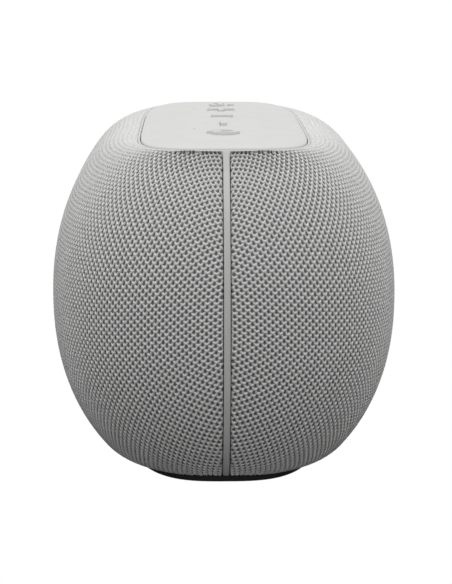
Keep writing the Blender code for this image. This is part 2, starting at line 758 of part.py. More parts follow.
def make_cabinet():
    front = make_cabinet_half("cabinet_front", -1, CABINET_FRONT)
    rear = make_cabinet_half("cabinet_rear", 1, CABINET_REAR)
    cut(front, cylinders("woofer_hole", [(0.0, DRIVER_Z)], WOOFER_HOLE, 35.0, 60.0, turn=FRONT, cutter=True,
                         segments=20))
    cut(front, cylinders("tweeter_holes", [(-TWEETER_X, DRIVER_Z), (TWEETER_X, DRIVER_Z)], TWEETER_HOLE, 35.0,
                         60.0, turn=FRONT, cutter=True, segments=20))
    cut(front, cylinders("woofer_screw_holes", woofer_screw_places(WOOFER_SCREW_RADIUS, DRIVER_Z), 1.9, 40.0,
                         60.0, turn=FRONT, cutter=True, segments=8))
    cut(rear, cylinders("radiator_hole", [(0.0, -RADIATOR_Z)], RADIATOR_HOLE, 30.0, 60.0, turn=REAR, cutter=True,
                        segments=20))
    cut(rear, cylinders("mains_cable_hole", [(INLET_X, -PORT_Z)], 3.0, 30.0, 60.0, turn=REAR, cutter=True,
                        segments=12))
    cut(rear, cylinders("key_cable_hole", [(76.0, 12.0)], 2.4, 100.0, 118.0, cutter=True, segments=12))
    gasket = box("cabinet_gasket", (-CABINET_HALF, -0.35, CABINET_LOW), (CABINET_HALF, 0.35, CABINET_HIGH),
                 DARK_RUBBER)
    inner = CABINET_HALF - CABINET_WALL
    cut(gasket, box("gasket_opening", (-inner, -5.0, CABINET_LOW + CABINET_WALL),
                    (inner, 5.0, CABINET_HIGH - CABINET_WALL), cutter=True))


# ---------------------------------------------------------------- drivers

def make_woofer():
    place = (0.0, CABINET_FRONT, DRIVER_Z)
    basket = turned("woofer_basket", [(WOOFER_RADIUS, 3.3), (WOOFER_RADIUS, 0.3), (37.9, 0.3), (37.9, -3.0),
                                      (23.0, -22.0), (12.0, -22.0), (12.0, -20.6), (21.8, -20.6), (36.4, -2.0),
                                      (36.4, 0.6), (36.9, 0.8), (36.9, 3.3)],
                    STEEL, place, FRONT, closed=True)
    windows = boxes("basket_windows", [((-6.0, CABINET_FRONT + 6.0, DRIVER_Z + 15.0),
                                        (6.0, CABINET_FRONT + 18.0, DRIVER_Z + 45.0)),
                                       ((-6.0, CABINET_FRONT + 6.0, DRIVER_Z - 45.0),
                                        (6.0, CABINET_FRONT + 18.0, DRIVER_Z - 15.0)),
                                       ((15.0, CABINET_FRONT + 6.0, DRIVER_Z - 6.0),
                                        (45.0, CABINET_FRONT + 18.0, DRIVER_Z + 6.0)),
                                       ((-45.0, CABINET_FRONT + 6.0, DRIVER_Z - 6.0),
                                        (-15.0, CABINET_FRONT + 18.0, DRIVER_Z + 6.0))])
    cut(basket, windows)
    cut(basket, cylinders("basket_screw_holes", woofer_screw_places(WOOFER_SCREW_RADIUS, DRIVER_Z), 1.8, 45.0,
                          52.0, turn=FRONT, cutter=True, segments=8))
    places = [(x, CABINET_FRONT, z) for x, z in woofer_screw_places(WOOFER_SCREW_RADIUS, DRIVER_Z)]
    screws("woofer_screw", places, 2.8, 1.4, 3.6, 5.2, -5.0, FRONT)
    turned("woofer_top_plate", [(22.0, -22.3), (22.0, -26.0), (12.0, -26.0), (12.0, -22.3)], STEEL, place, FRONT,
           closed=True)
    turned("woofer_magnet", [(24.5, -26.3), (24.5, -37.0), (13.0, -37.0), (13.0, -26.3)], FERRITE, place, FRONT,
           closed=True)
    turned("woofer_yoke", [(0.0, -22.6), (9.2, -22.6), (9.2, -37.3), (22.0, -37.3), (22.0, -41.0), (0.0, -41.0)],
           STEEL, place, FRONT)
    turned("woofer_cone", [(31.0, 1.4), (31.0, 0.5), (10.9, -14.0), (10.9, -32.0), (10.2, -32.0), (10.2, -13.4)],
           CONE_PAPER, place, FRONT, closed=True)
    turned("woofer_dust_cap", [(0.0, -6.8), (5.0, -7.3), (9.0, -8.9), (12.5, -11.0), (12.5, -11.4), (9.0, -9.6),
                               (5.0, -8.1), (0.0, -7.6)], CONE_PAPER, place, FRONT, segments=16)
    roll = [(34.0 + 2.6 * math.cos(math.radians(a)), 0.9 + 2.6 * math.sin(math.radians(a)))
            for a in range(180, -1, -45)]
    inner_roll = [(34.0 + 1.9 * math.cos(math.radians(a)), 0.9 + 1.9 * math.sin(math.radians(a)))
                  for a in range(0, 181, 60)]
    turned("woofer_surround", roll + inner_roll, DARK_RUBBER, place, FRONT, closed=True)
    turned("woofer_spider", [(20.5, -17.6), (20.5, -18.2), (17.5, -17.4), (14.5, -18.2), (11.5, -17.6),
                             (11.5, -17.0), (14.5, -17.6), (17.5, -16.8)], SPIDER_CLOTH, place, FRONT,
           closed=True)


def make_tweeter(side, x):
    place = (x, CABINET_FRONT, DRIVER_Z)
    turned(f"tweeter_{side}_housing", [(14.0, 2.3), (14.0, 0.3), (12.1, 0.3), (12.1, -8.0), (10.4, -8.0),
                                       (10.4, 2.3)], BLACK_PLASTIC, place, FRONT, segments=16, closed=True)
    turned(f"tweeter_{side}_dome", [(0.0, 3.4), (4.0, 3.0), (7.4, 1.6), (9.4, -0.6), (9.9, -0.6), (9.9, -1.2),
                                    (8.8, -1.2), (6.8, 1.0), (3.8, 2.3), (0.0, 2.7)], DOME_SILK, place, FRONT,
           segments=20)
    turned(f"tweeter_{side}_magnet", [(0.0, -8.3), (11.8, -8.3), (11.8, -17.0), (0.0, -17.0)], FERRITE, place,
           FRONT, segments=14)


def make_radiator():
    place = (0.0, CABINET_REAR, RADIATOR_Z)
    turned("radiator_frame", [(36.0, 3.0), (36.0, 0.3), (28.8, 0.3), (28.8, 3.0)], BLACK_PLASTIC, place, REAR,
           closed=True)
    roll = [(25.6 + 2.9 * math.cos(math.radians(a)), 1.0 + 2.9 * math.sin(math.radians(a)))
            for a in range(180, -1, -45)]
    inner_roll = [(25.6 + 2.2 * math.cos(math.radians(a)), 1.0 + 2.2 * math.sin(math.radians(a)))
                  for a in range(0, 181, 60)]
    turned("radiator_surround", roll + inner_roll, DARK_RUBBER, place, REAR, closed=True)
    turned("radiator_plate", [(0.0, 2.2), (22.3, 2.2), (22.3, 0.2), (15.0, 0.2), (15.0, -2.5), (0.0, -2.5)],
           ALUMINIUM, place, REAR)


# ---------------------------------------------------------------- boards

def make_power_board():
    face = -BOARD_FACE_X
    box("power_board", (face - BOARD_THICKNESS, BOARD_RANGE_Y[0], BOARD_RANGE_Z[0]),
        (face, BOARD_RANGE_Y[1], BOARD_RANGE_Z[1]), BOARD_GREEN)
    box("transformer", (face + GAP, -12.0, 62.0), (face + 20.0, 12.0, 86.0), YELLOW_TAPE, bevel=1.0)
    cylinder = cylinders("bulk_capacitor", [(0.0, 0.0)], 8.0, GAP, 22.0, finish=BLACK_PLASTIC, segments=20)
    cylinder.rotation_euler = (0.0, math.radians(90), 0.0)
    cylinder.location = Vector((face, -2.0, 50.0)) * MM


def make_main_board():
    face = BOARD_FACE_X
    box("main_board", (face, BOARD_RANGE_Y[0], BOARD_RANGE_Z[0]),
        (face + BOARD_THICKNESS, BOARD_RANGE_Y[1], BOARD_RANGE_Z[1]), BOARD_GREEN)
    box("shield_can", (face - 3.2, -20.0, 74.0), (face - GAP, 8.0, 94.0), STEEL, bevel=0.5)
    sink = box("heat_sink", (face - 14.0, -20.0, 42.0), (face - GAP, 16.0, 66.0), ALUMINIUM)
    slots = [((face - 20.0, -17.0 + k * 6.0, 40.0), (face - 3.0, -13.0 + k * 6.0, 70.0)) for k in range(6)]
    cut(sink, boxes("heat_sink_slots", slots))
    for name, side in (("antenna_left", -1), ("antenna_right", 1)):
        reach = sorted((side * (CABINET_HALF + GAP), side * (CABINET_HALF + 1.3)))
        box(name, (reach[0], -14.0, 80.0), (reach[1], 14.0, 90.0), COPPER_TAPE)


def make_cables():
    cable("mains_cable", [(INLET_X, 41.6, PORT_Z), (INLET_X, 36.0, PORT_Z), (INLET_X - 6.0, 30.0, PORT_Z),
                          (-36.0, 27.0, 33.0), (-60.0, 25.0, 38.0), (-74.0, 24.0, 43.0),
                          (-79.0, 24.0, 45.0), (-84.2, 24.0, 45.0)], 2.0)
    cable("woofer_cable", [(26.0, -25.0, 50.0), (34.0, -18.0, 46.0), (48.0, -4.0, 37.0), (62.0, 8.0, 32.0),
                           (74.0, 18.0, 33.5), (80.0, 20.0, 38.0), (84.2, 20.0, 38.0)], 1.4)
    cable("key_cable", [(68.0, 12.0, 117.6), (72.0, 12.0, 117.4), (75.2, 12.0, 115.6), (76.0, 12.0, 112.0),
                        (76.3, 12.5, 106.0), (77.5, 14.0, 97.0), (79.5, 15.0, 90.0), (84.2, 15.0, 88.5)], 1.2)


# ---------------------------------------------------------------- rear port panel

def figure_eight(radius, spacing):
    """The outline of a two-pin appliance inlet: two circles joined by straight sides."""
    right = arc(radius, -90, 90, 8, (spacing, 0.0))
    left = arc(radius, 90, 270, 8, (-spacing, 0.0))
    return right + left


def at_rear(loop, x):
    return [(px + x, py - PORT_Z) for px, py in loop]


def make_port_panel():
    low = PORT_LOW + GAP
    high = PORT_HIGH - GAP
    reach = PORT_HALF - GAP
    section = [(PORT_BACK, low), (barrel(low)[1] + 0.2, low), (barrel(high)[1] + 0.2, high), (PORT_BACK, high)]
    panel = loft("port_panel", [[(x, y, z) for y, z in section] for x in (-reach, reach)], BLACK_PLASTIC)
    cut(panel, box("port_recess", (-reach + 1.5, PORT_FACE, low + 1.5), (reach - 1.5, 90.0, high - 1.5),
                   cutter=True))
    cut(panel, flat_outline("inlet_opening", [at_rear(figure_eight(5.6, 4.2), INLET_X)], 50.0, 60.0, cutter=True,
                            turn=REAR))
    cut(panel, box("service_opening", (SERVICE_X - 4.8, 50.0, PORT_Z - 2.0), (SERVICE_X + 4.8, 60.0, PORT_Z + 2.0),
                   cutter=True))
    cut(panel, cylinders("mute_opening", [(MUTE_X, -PORT_Z)], 3.2, 50.0, 60.0, turn=REAR, cutter=True))
    inlet = flat_outline("mains_inlet", [at_rear(figure_eight(5.3, 4.2), INLET_X)], 42.0, PORT_FACE + 0.2,
                         finish=BLACK_PLASTIC, turn=REAR)
    cut(inlet, flat_outline("inlet_socket", [at_rear(figure_eight(4.3, 4.0), INLET_X)], 44.5, 60.0, cutter=True,
                            turn=REAR))
    join(inlet, cylinders("inlet_pins", [(INLET_X - 4.3, -PORT_Z), (INLET_X + 4.3, -PORT_Z)], 1.2, 44.0, 54.5,
                          turn=REAR, cutter=True, segments=10))
    port = box("service_port", (SERVICE_X - 4.5, 50.3, PORT_Z - 1.7), (SERVICE_X + 4.5, PORT_FACE + 0.2,
                                                                      PORT_Z + 1.7), STEEL)
    cut(port, box("service_socket", (SERVICE_X - 4.0, 51.5, PORT_Z - 1.2), (SERVICE_X + 4.0, 60.0, PORT_Z + 1.2),
                  cutter=True))
    box("port_board", (SERVICE_X - 7.0, 48.4, PORT_Z - 6.0), (MUTE_X + 6.0, 50.0, PORT_Z + 6.0), BOARD_GREEN)
    turned("mute_button", [(0.0, 5.2), (2.4, 5.2), (2.8, 4.8), (2.8, 1.2), (4.0, 1.2), (4.0, 0.0), (0.0, 0.0)],
           BLACK_PLASTIC, (MUTE_X, 53.0, PORT_Z), REAR, segments=16)


def make_status_lights():
    front = STATUS_BOARD_FRONT
    board = box("status_light_board", (-15.0, front - BOARD_THICKNESS, 22.0), (15.0, front, 28.0), BOARD_GREEN)
    lamps = [((k * 8.0 - 1.5, front - 2.6, 23.5), (k * 8.0 + 1.5, front - 1.0, 26.5)) for k in (-1.5, -0.5, 0.5, 1.5)]
    join(board, boxes("status_lamps", lamps))


make_top_panel()
make_trim_frame()
make_skins()
make_base()
make_key_parts()
make_cabinet()
make_woofer()
make_tweeter("left", -TWEETER_X)
make_tweeter("right", TWEETER_X)
make_radiator()
make_power_board()
make_main_board()
make_cables()
make_port_panel()
make_status_lights()
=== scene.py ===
"""Looks for the smart speaker: knit cover, light top panel with raised keys, black base and rear port panel.

Lengths in this script are millimetres, and MM scales them to metres.
"""
import json
import math

import bmesh
import bpy
import numpy as np
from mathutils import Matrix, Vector


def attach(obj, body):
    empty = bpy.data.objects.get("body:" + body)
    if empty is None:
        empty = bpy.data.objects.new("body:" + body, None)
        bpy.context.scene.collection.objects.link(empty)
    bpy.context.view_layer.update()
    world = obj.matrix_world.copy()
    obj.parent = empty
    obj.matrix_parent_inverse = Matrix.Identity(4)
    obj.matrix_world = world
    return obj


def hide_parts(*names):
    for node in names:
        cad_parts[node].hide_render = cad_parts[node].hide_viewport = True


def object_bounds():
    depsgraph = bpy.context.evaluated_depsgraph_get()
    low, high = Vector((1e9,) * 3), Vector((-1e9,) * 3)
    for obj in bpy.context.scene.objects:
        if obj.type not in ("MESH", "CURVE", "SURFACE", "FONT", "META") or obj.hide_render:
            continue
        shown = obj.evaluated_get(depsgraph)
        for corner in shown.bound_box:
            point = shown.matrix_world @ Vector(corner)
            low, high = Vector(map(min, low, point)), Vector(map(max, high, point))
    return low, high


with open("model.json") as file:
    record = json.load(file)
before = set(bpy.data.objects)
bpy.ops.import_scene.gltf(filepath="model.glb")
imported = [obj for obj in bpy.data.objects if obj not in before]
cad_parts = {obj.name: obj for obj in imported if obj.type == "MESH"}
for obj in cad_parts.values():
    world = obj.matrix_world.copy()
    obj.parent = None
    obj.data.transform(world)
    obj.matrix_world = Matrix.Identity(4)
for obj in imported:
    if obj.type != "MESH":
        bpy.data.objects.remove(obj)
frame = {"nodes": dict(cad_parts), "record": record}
cad_low, cad_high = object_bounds()

MM = 0.001

# The barrel body, as the CAD model has it: half sizes that shrink away from the waist.
HALF_LENGTH = cad_high.x / MM
HALF_DEPTH = cad_high.y / MM
WAIST_Z = 66.3
BARREL_REACH = 80.9
BARREL_POWER = 2.16
PLAN_POWER = 3.36
END_SHARE = 0.951
LOW_SHOULDER_Z = 9.0
HIGH_SHOULDER_Z = 124.0
LOW_CONTROL_Z = 3.7
HIGH_CONTROL_Z = 131.8

# Top panel and collar.
PANEL_TOP = 134.6
PANEL_HALF_LENGTH = 93.4
PANEL_HALF_WIDTH = 34.0
PANEL_POWER = 4.3
PANEL_END_DROP = 2.5
PANEL_SIDE_DROP = 3.8
PANEL_WALL = 2.2
PANEL_SKIRT = 3.4
PANEL_EDGE = 0.7
COLLAR_IN = 0.35
COLLAR_OUT = 1.2
COLLAR_REVEAL = 0.6
COLLAR_SIDE_REVEAL = 0.2
COLLAR_LEDGE = 3.8
COLLAR_FLOOR = 5.2
COLLAR_EDGE = 0.35
COLLAR_SHELF = 5.0           # the collar's ledge reaches this far in under the panel's edge
COLLAR_MEETING = 1.0         # the body's surface ends this far outside the panel's outline
COLLAR_LEG_LOW = 112.3
COLLAR_LEG_TOP = 126.8
COLLAR_LEG_RADIUS = 2.2
COLLAR_LEG_X = 80.0
COLLAR_LEG_Y = 26.0

# Base.
BASE_HALF_LENGTH = 93.8
BASE_HALF_WIDTH = 40.2
BASE_POWER = 3.0
BASE_LOW = 0.7
BASE_TOP = 3.4
BASE_LIP = 7.0
BASE_FLOOR = 2.0
BASE_RING = 36.0             # the tray's ring is this wide, round an open middle
BASE_EDGE = 0.6
BASE_MEETING = 0.2           # the body's surface starts this far outside the base
FOOT_HEIGHT = 0.4
FOOT_OUT = 6.0
FOOT_IN = 13.0
POST_X = 70.0
POST_Y = 24.0
POST_TOP = 21.7
POST_RADIUS = 4.5
BORE_RADIUS = 2.0
COUNTERBORE_RADIUS = 3.6
COUNTERBORE_TOP = 6.0

# Fineness of the meshes.
RING_POINTS = 50             # points in a quarter of a ring
OUTLINE_SAMPLES = 1500
LOW_ROWS = 38                # rows of the body below its low shoulder, between its shoulders and above them
BODY_ROWS = 308
HIGH_ROWS = 52

# End strips.
STRIP_HALF_WIDTH = 1.25
STRIP_DEPTH = 2.6
STRIP_FILLET = 1.9
SEAM = 1.55                  # where the knit stops beside a strip

# Keys.
KEY_PITCH = 28.1
KEY_RISE = 0.95
KEY_CLEARANCE = 0.25
STROKE = 2.2
FLANGE_RADIUS = 8.5
FLANGE_THICKNESS = 1.2
FLANGE_GAP = 0.4
STEM_RADIUS = 2.0
STEM_END = 126.6
KEY_EDGE = 0.22
MICROPHONE_X = KEY_PITCH * 1.5
MICROPHONE_Y = 12.0
MICROPHONE_RADIUS = 0.6

# Rear port panel.
PORT_HALF = 30.0
PORT_HALF_HEIGHT = 11.0
PORT_Z = 31.0
PORT_BACK = 55.5
PORT_FACE = 57.0
INLET_X = -14.0
SERVICE_X = 9.0
MUTE_X = 21.0
MUTE_BACK = 53.0

# Knit: a brick lattice of stitches. Each has two large lobes that lean together at its foot, and a small
# third one that bridges to the next stitch. A lobe has a centre (x, y), a tilt in degrees, a half length
# and a half width.
STITCH_WIDTH = 2.9
STITCH_HEIGHT = 3.0
LOBES = [(-0.42, 0.14, -54.0, 1.00, 0.56), (0.42, 0.18, 54.0, 1.04, 0.57),
         (0.72, -0.70, -46.0, 0.60, 0.38)]
SHINGLE = 0.32               # how much further a stitch stands out at its foot than in its middle
YARN_HEIGHT = 0.62
KNIT_BACK = 0.44             # the gaps between stitches lie this far inside the body's surface
EDGE_TUCK = 0.8
EDGE_ROLL = 0.7
KNIT_COLUMNS = 901
KNIT_PANELS = 4

# How the stretched knit lies on the body. The level is the height from the waist over LAYOUT_HEIGHT, and
# each tuple holds the factors of its powers 0, 1 and 2.
COLUMNS_PER_MM = 0.395
ROWS_PER_MM = 0.323
LAYOUT_HEIGHT = 60.0
COLUMN_NEAR = 20.0           # columns crowd within this distance of a strip
COLUMN_CROWDING = (2.24, -0.16, 4.22)
COLUMN_LEANING = (0.356, 0.0097)
ROW_NEAR = 16.0              # rows sink within this distance of a strip
ROW_SINKING = (0.42, 3.42, 1.64)
ROW_HANGING = (-3.42, 2.07)
ROW_SPREADING = 3.99         # rows spread where the knit turns over the shoulders


# ---------------------------------------------------------------- modelling helpers

def deselect_all():
    bpy.ops.object.select_all(action="DESELECT")


def keep_only(item):
    deselect_all()
    item.select_set(True)
    bpy.context.view_layer.objects.active = item


def named(name):
    item = bpy.context.object
    item.name = name
    item.data.name = name
    return item


def smooth(item, angle):
    keep_only(item)
    bpy.ops.object.shade_smooth_by_angle(angle=math.radians(angle))


def apply_modifier(item, name, kind, **settings):
    keep_only(item)
    step = item.modifiers.new(name, kind)
    for key, value in settings.items():
        setattr(step, key, value)
    bpy.ops.object.modifier_apply(modifier=step.name)


def cut(item, cutter):
    apply_modifier(item, "cut", "BOOLEAN", operation="DIFFERENCE", solver="EXACT", object=cutter)
    bpy.data.objects.remove(cutter)


def weld_to(item, other):
    apply_modifier(item, "join", "BOOLEAN", operation="UNION", solver="EXACT", object=other)
    bpy.data.objects.remove(other)


def extruded_rings(name, rings, close="fill"):
    """Extrudes a circle through rings of points; the ends are filled, or the last ring meets the first."""
    deselect_all()
    fill = "NOTHING" if close == "loop" else "TRIFAN"
    bpy.ops.mesh.primitive_circle_add(vertices=len(rings[0]), radius=1.0, fill_type=fill)
    item = named(name)
    bpy.ops.object.mode_set(mode="EDIT")
    bpy.context.tool_settings.mesh_select_mode = (False, True, False)
    shape = bmesh.from_edit_mesh(item.data)
    place = shape.verts.layers.int.new("place")
    rim = sorted((v for v in shape.verts if v.co.length > 0.5),
                 key=lambda v: math.atan2(v.co.y, v.co.x) % math.tau)
    for number, vertex in enumerate(rim):
        vertex[place] = number
    for vertex in shape.verts:
        if vertex.co.length < 0.5:
            vertex.co = sum((Vector(p) for p in rings[0]), Vector()) / len(rings[0]) * MM
    for vertex in rim:
        vertex.co = Vector(rings[0][vertex[place]]) * MM
    for edge in shape.edges:
        edge.select_set(all(v in rim for v in edge.verts) and (edge.is_boundary or edge.is_wire))
    shape.select_flush_mode()
    bmesh.update_edit_mesh(item.data)
    following = rings[1:] + ([rings[0]] if close == "loop" else [])
    for ring in following:
        bpy.ops.mesh.extrude_edges_move()
        shape = bmesh.from_edit_mesh(item.data)
        place = shape.verts.layers.int["place"]
        for vertex in shape.verts:
            if vertex.select:
                vertex.co = Vector(ring[vertex[place]]) * MM
        bmesh.update_edit_mesh(item.data)
    if close == "fill":
        bpy.ops.mesh.extrude_edges_move()
        bpy.ops.mesh.merge(type="CENTER")
    bpy.context.tool_settings.mesh_select_mode = (True, False, False)
    bpy.ops.mesh.select_all(action="SELECT")
    bpy.ops.mesh.remove_doubles(threshold=0.000001)
    bpy.ops.mesh.normals_make_consistent(inside=False)
    bpy.ops.object.mode_set(mode="OBJECT")
    return item


def prism(name, loops, low, high):
    """A solid from flat outlines, extruded between two heights."""
    curve = bpy.data.curves.new(name, "CURVE")
    curve.dimensions = "2D"
    curve.fill_mode = "BOTH"
    curve.extrude = (high - low) * MM / 2
    for loop in loops:
        spline = curve.splines.new("POLY")
        spline.points.add(len(loop) - 1)
        spline.use_cyclic_u = True
        for point, (x, y) in zip(spline.points, loop):
            point.co = (x * MM, y * MM, 0.0, 1.0)
    deselect_all()
    item = bpy.data.objects.new(name, curve)
    bpy.context.scene.collection.objects.link(item)
    keep_only(item)
    bpy.ops.object.convert(target="MESH")
    item = named(name)
    item.location.z = (low + high) * MM / 2
    bpy.ops.object.transform_apply(location=True, rotation=False, scale=False)
    bpy.ops.object.mode_set(mode="EDIT")
    bpy.ops.mesh.select_all(action="SELECT")
    bpy.ops.mesh.remove_doubles(threshold=0.000005)
    bpy.ops.mesh.normals_make_consistent(inside=False)
    bpy.ops.object.mode_set(mode="OBJECT")
    return item


def disc(name, radius, low, high, x=0.0, y=0.0, bevel=0.0, segments=48):
    deselect_all()
    bpy.ops.mesh.primitive_cylinder_add(vertices=segments, radius=radius * MM, depth=(high - low) * MM,
                                        location=(x * MM, y * MM, (low + high) * MM / 2))
    item = named(name)
    bpy.ops.object.transform_apply(location=True, rotation=False, scale=False)
    if bevel:
        apply_modifier(item, "edge", "BEVEL", width=bevel * MM, segments=3, limit_method="ANGLE",
                       angle_limit=math.radians(50))
    return item


# ---------------------------------------------------------------- outlines and surfaces

def superellipse(half_x, half_y, power, start, count):
    """Evenly spaced points of a quarter outline, from the angle parameter start up to the Y axis."""
    t = np.linspace(start, math.pi / 2, OUTLINE_SAMPLES)
    x = half_x * np.clip(np.cos(t), 0.0, 1.0) ** (2 / power)
    y = half_y * np.sin(t) ** (2 / power)
    along = np.concatenate([[0.0], np.cumsum(np.hypot(np.diff(x), np.diff(y)))])
    wanted = np.linspace(0.0, along[-1], count + 1)
    return np.stack([np.interp(wanted, along, x), np.interp(wanted, along, y)], axis=1)


def full_loop(half_x, half_y, power, count=RING_POINTS):
    q = superellipse(half_x, half_y, power, 0.0, count)
    right = [tuple(p) for p in q[:-1]]
    left = [(-x, y) for x, y in q[:0:-1]]
    return right + left + [(-x, -y) for x, y in right + left]


def half_loop(half_x, half_y, power, side, columns):
    """One side of an outline from seam to seam, running towards +X at the front and -X at the rear."""
    start = math.asin((SEAM / half_y) ** (power / 2))
    q = superellipse(half_x, half_y, power, start, columns // 2)
    mirrored = q[-2::-1] * (-1.0, 1.0)
    return np.concatenate([q, mirrored]) * side


def barrel(z):
    rise = abs((z - WAIST_Z) / BARREL_REACH)
    half_depth = HALF_DEPTH * (1 - rise ** BARREL_POWER) ** (1 / BARREL_POWER)
    return HALF_LENGTH - END_SHARE * (HALF_DEPTH - half_depth), half_depth


def panel_height(x, y):
    """The panel's crown: nearly flat in the middle, and falling towards its ends and sides."""
    end_fall = PANEL_END_DROP * (abs(x) / PANEL_HALF_LENGTH) ** 2
    side_fall = PANEL_SIDE_DROP * (abs(y) / PANEL_HALF_WIDTH) ** 1.6
    return PANEL_TOP - (end_fall ** 3 + side_fall ** 3) ** (1 / 3)


def collar_height(x, y):
    return panel_height(x, y) - COLLAR_REVEAL - COLLAR_SIDE_REVEAL * (abs(y) / PANEL_HALF_WIDTH) ** 3


def arc(radius, start, end, steps, centre=(0.0, 0.0)):
    return [(centre[0] + radius * math.cos(math.radians(start + (end - start) * i / steps)),
             centre[1] + radius * math.sin(math.radians(start + (end - start) * i / steps)))
            for i in range(steps + 1)]


def rounded_outline(corners, radius, steps=6):
    """A counter-clockwise polygon with every corner, outer or inner, rounded."""
    result = []
    for i, corner in enumerate(corners):
        here = Vector(corner)
        before = (Vector(corners[i - 1]) - here).normalized()
        after = (Vector(corners[(i + 1) % len(corners)]) - here).normalized()
        half = before.angle(after) / 2
        centre = here + (before + after).normalized() * radius / math.sin(half)
        first = here + before * radius / math.tan(half) - centre
        last = here + after * radius / math.tan(half) - centre
        turn = first.angle_signed(last)
        for k in range(steps + 1):
            angle = -turn * k / steps
            result.append((centre.x + first.x * math.cos(angle) - first.y * math.sin(angle),
                           centre.y + first.x * math.sin(angle) + first.y * math.cos(angle)))
    return result


def rounded_box(half_x, half_y, radius, centre=(0.0, 0.0), steps=6):
    corners = [(-half_x, -half_y), (half_x, -half_y), (half_x, half_y), (-half_x, half_y)]
    return rounded_outline([(x + centre[0], y + centre[1]) for x, y in corners], radius, steps)


def arc_band(middle, width, start, end, steps, centre=(0.0, 0.0)):
    outer = arc(middle + width / 2, start, end, steps, centre)
    inner = arc(middle - width / 2, end, start, steps, centre)
    return outer + inner


# ---------------------------------------------------------------- key symbols

def power_symbol(grow):
    middle = 4.85
    opening = 30.0 - math.degrees(grow / middle)
    ring = arc_band(middle, STROKE + 2 * grow, 90 + opening, 450 - opening, 48)
    return [ring, rounded_box(STROKE / 2 + grow, 2.75 + grow, 0.3, (0.0, 4.15))]


def minus_symbol(grow):
    return [rounded_box(6.0 + grow, STROKE / 2 + grow, 0.3)]


def plus_symbol(grow):
    long = 6.1 + grow
    short = STROKE / 2 + grow
    corners = []
    for turn in range(4):
        corner = [(long, -short), (long, short), (short, short)]
        for _ in range(turn):
            corner = [(-y, x) for x, y in corner]
        corners += corner
    return [rounded_outline(corners, 0.3)]


def play_symbol(grow):
    reach = 6.24 + 2 * grow
    corners = [(reach * math.cos(math.radians(a)), reach * math.sin(math.radians(a))) for a in (0, 120, 240)]
    return [rounded_outline(corners, 0.9)]


def wireless_symbol(grow):
    foot = (0.0, -5.0)
    loops = [arc(1.45 + grow, 0, 350, 35, foot)]
    for middle in (5.0, 8.9):
        spread = 45 + math.degrees(grow / middle)
        loops.append(arc_band(middle, STROKE - 0.2 + 2 * grow, 90 - spread, 90 + spread, 24, foot))
    return loops


KEYS = [("power_key", power_symbol), ("volume_down_key", minus_symbol), ("play_key", play_symbol),
        ("volume_up_key", plus_symbol), ("wireless_key", wireless_symbol)]


def key_x(index):
    return (index - (len(KEYS) - 1) / 2) * KEY_PITCH


def shifted(loops, x):
    return [[(px + x, py) for px, py in loop] for loop in loops]


# ---------------------------------------------------------------- shader helpers

def node(tree, kind, links=None, **settings):
    made = tree.nodes.new("ShaderNode" + kind)
    for key, value in settings.items():
        setattr(made, key, value)
    for key, value in (links or {}).items():
        if isinstance(value, bpy.types.NodeSocket):
            tree.links.new(value, made.inputs[key])
        else:
            made.inputs[key].default_value = value
    return made


def calculate(tree, operation, *values):
    return node(tree, "Math", dict(enumerate(values)), operation=operation).outputs[0]


def mix_colour(tree, factor, first, second):
    made = node(tree, "Mix", {0: factor, 6: first, 7: second}, data_type="RGBA")
    return made.outputs[2]


def remap(tree, value, low, high, to_low, to_high):
    made = node(tree, "MapRange", {"Value": value, "From Min": low, "From Max": high, "To Min": to_low,
                                   "To Max": to_high}, interpolation_type="SMOOTHSTEP")
    return made.outputs["Result"]


def shader_group(name, inputs, outputs):
    """A node group with float, vector or colour sockets; returns its tree, input node and output node."""
    tree = bpy.data.node_groups.new(name, "ShaderNodeTree")
    for label, (kind, value) in inputs.items():
        socket = tree.interface.new_socket(label, in_out="INPUT", socket_type="NodeSocket" + kind)
        socket.default_value = value
    for label, kind in outputs.items():
        tree.interface.new_socket(label, in_out="OUTPUT", socket_type="NodeSocket" + kind)
    return tree, tree.nodes.new("NodeGroupInput"), tree.nodes.new("NodeGroupOutput")


def use_group(tree, group, values):
    made = tree.nodes.new("ShaderNodeGroup")
    made.node_tree = group
    for key, value in values.items():
        if isinstance(value, bpy.types.NodeSocket):
            tree.links.new(value, made.inputs[key])
        else:
            made.inputs[key].default_value = value
    return made


def make_grain_group():
    """Moulded or cast grain: fine pits with a slow mottle over them."""
    inputs = {"Position": ("Vector", (0.0, 0.0, 0.0)), "Grain Size": ("Float", 0.4),
              "Mottle Size": ("Float", 12.0)}
    outputs = {"Height": "Float", "Mottle": "Float", "Speckle": "Float"}
    tree, given, result = shader_group("moulded_grain", inputs, outputs)
    fine = calculate(tree, "DIVIDE", 1.0 / MM, given.outputs["Grain Size"])
    slow = calculate(tree, "DIVIDE", 1.0 / MM, given.outputs["Mottle Size"])
    where = given.outputs["Position"]
    cells = node(tree, "TexVoronoi", {"Vector": where, "Scale": fine, "Randomness": 0.9}, feature="SMOOTH_F1")
    noise = node(tree, "TexNoise", {"Vector": where, "Scale": fine, "Detail": 3.0, "Roughness": 0.6})
    mottle = node(tree, "TexNoise", {"Vector": where, "Scale": slow, "Detail": 2.0})
    height = calculate(tree, "MULTIPLY_ADD", noise.outputs["Fac"], 0.5, cells.outputs["Distance"])
    tree.links.new(height, result.inputs["Height"])
    tree.links.new(remap(tree, mottle.outputs["Fac"], 0.3, 0.7, 0.0, 1.0), result.inputs["Mottle"])
    tree.links.new(remap(tree, noise.outputs["Fac"], 0.3, 0.7, 0.0, 1.0), result.inputs["Speckle"])
    return tree


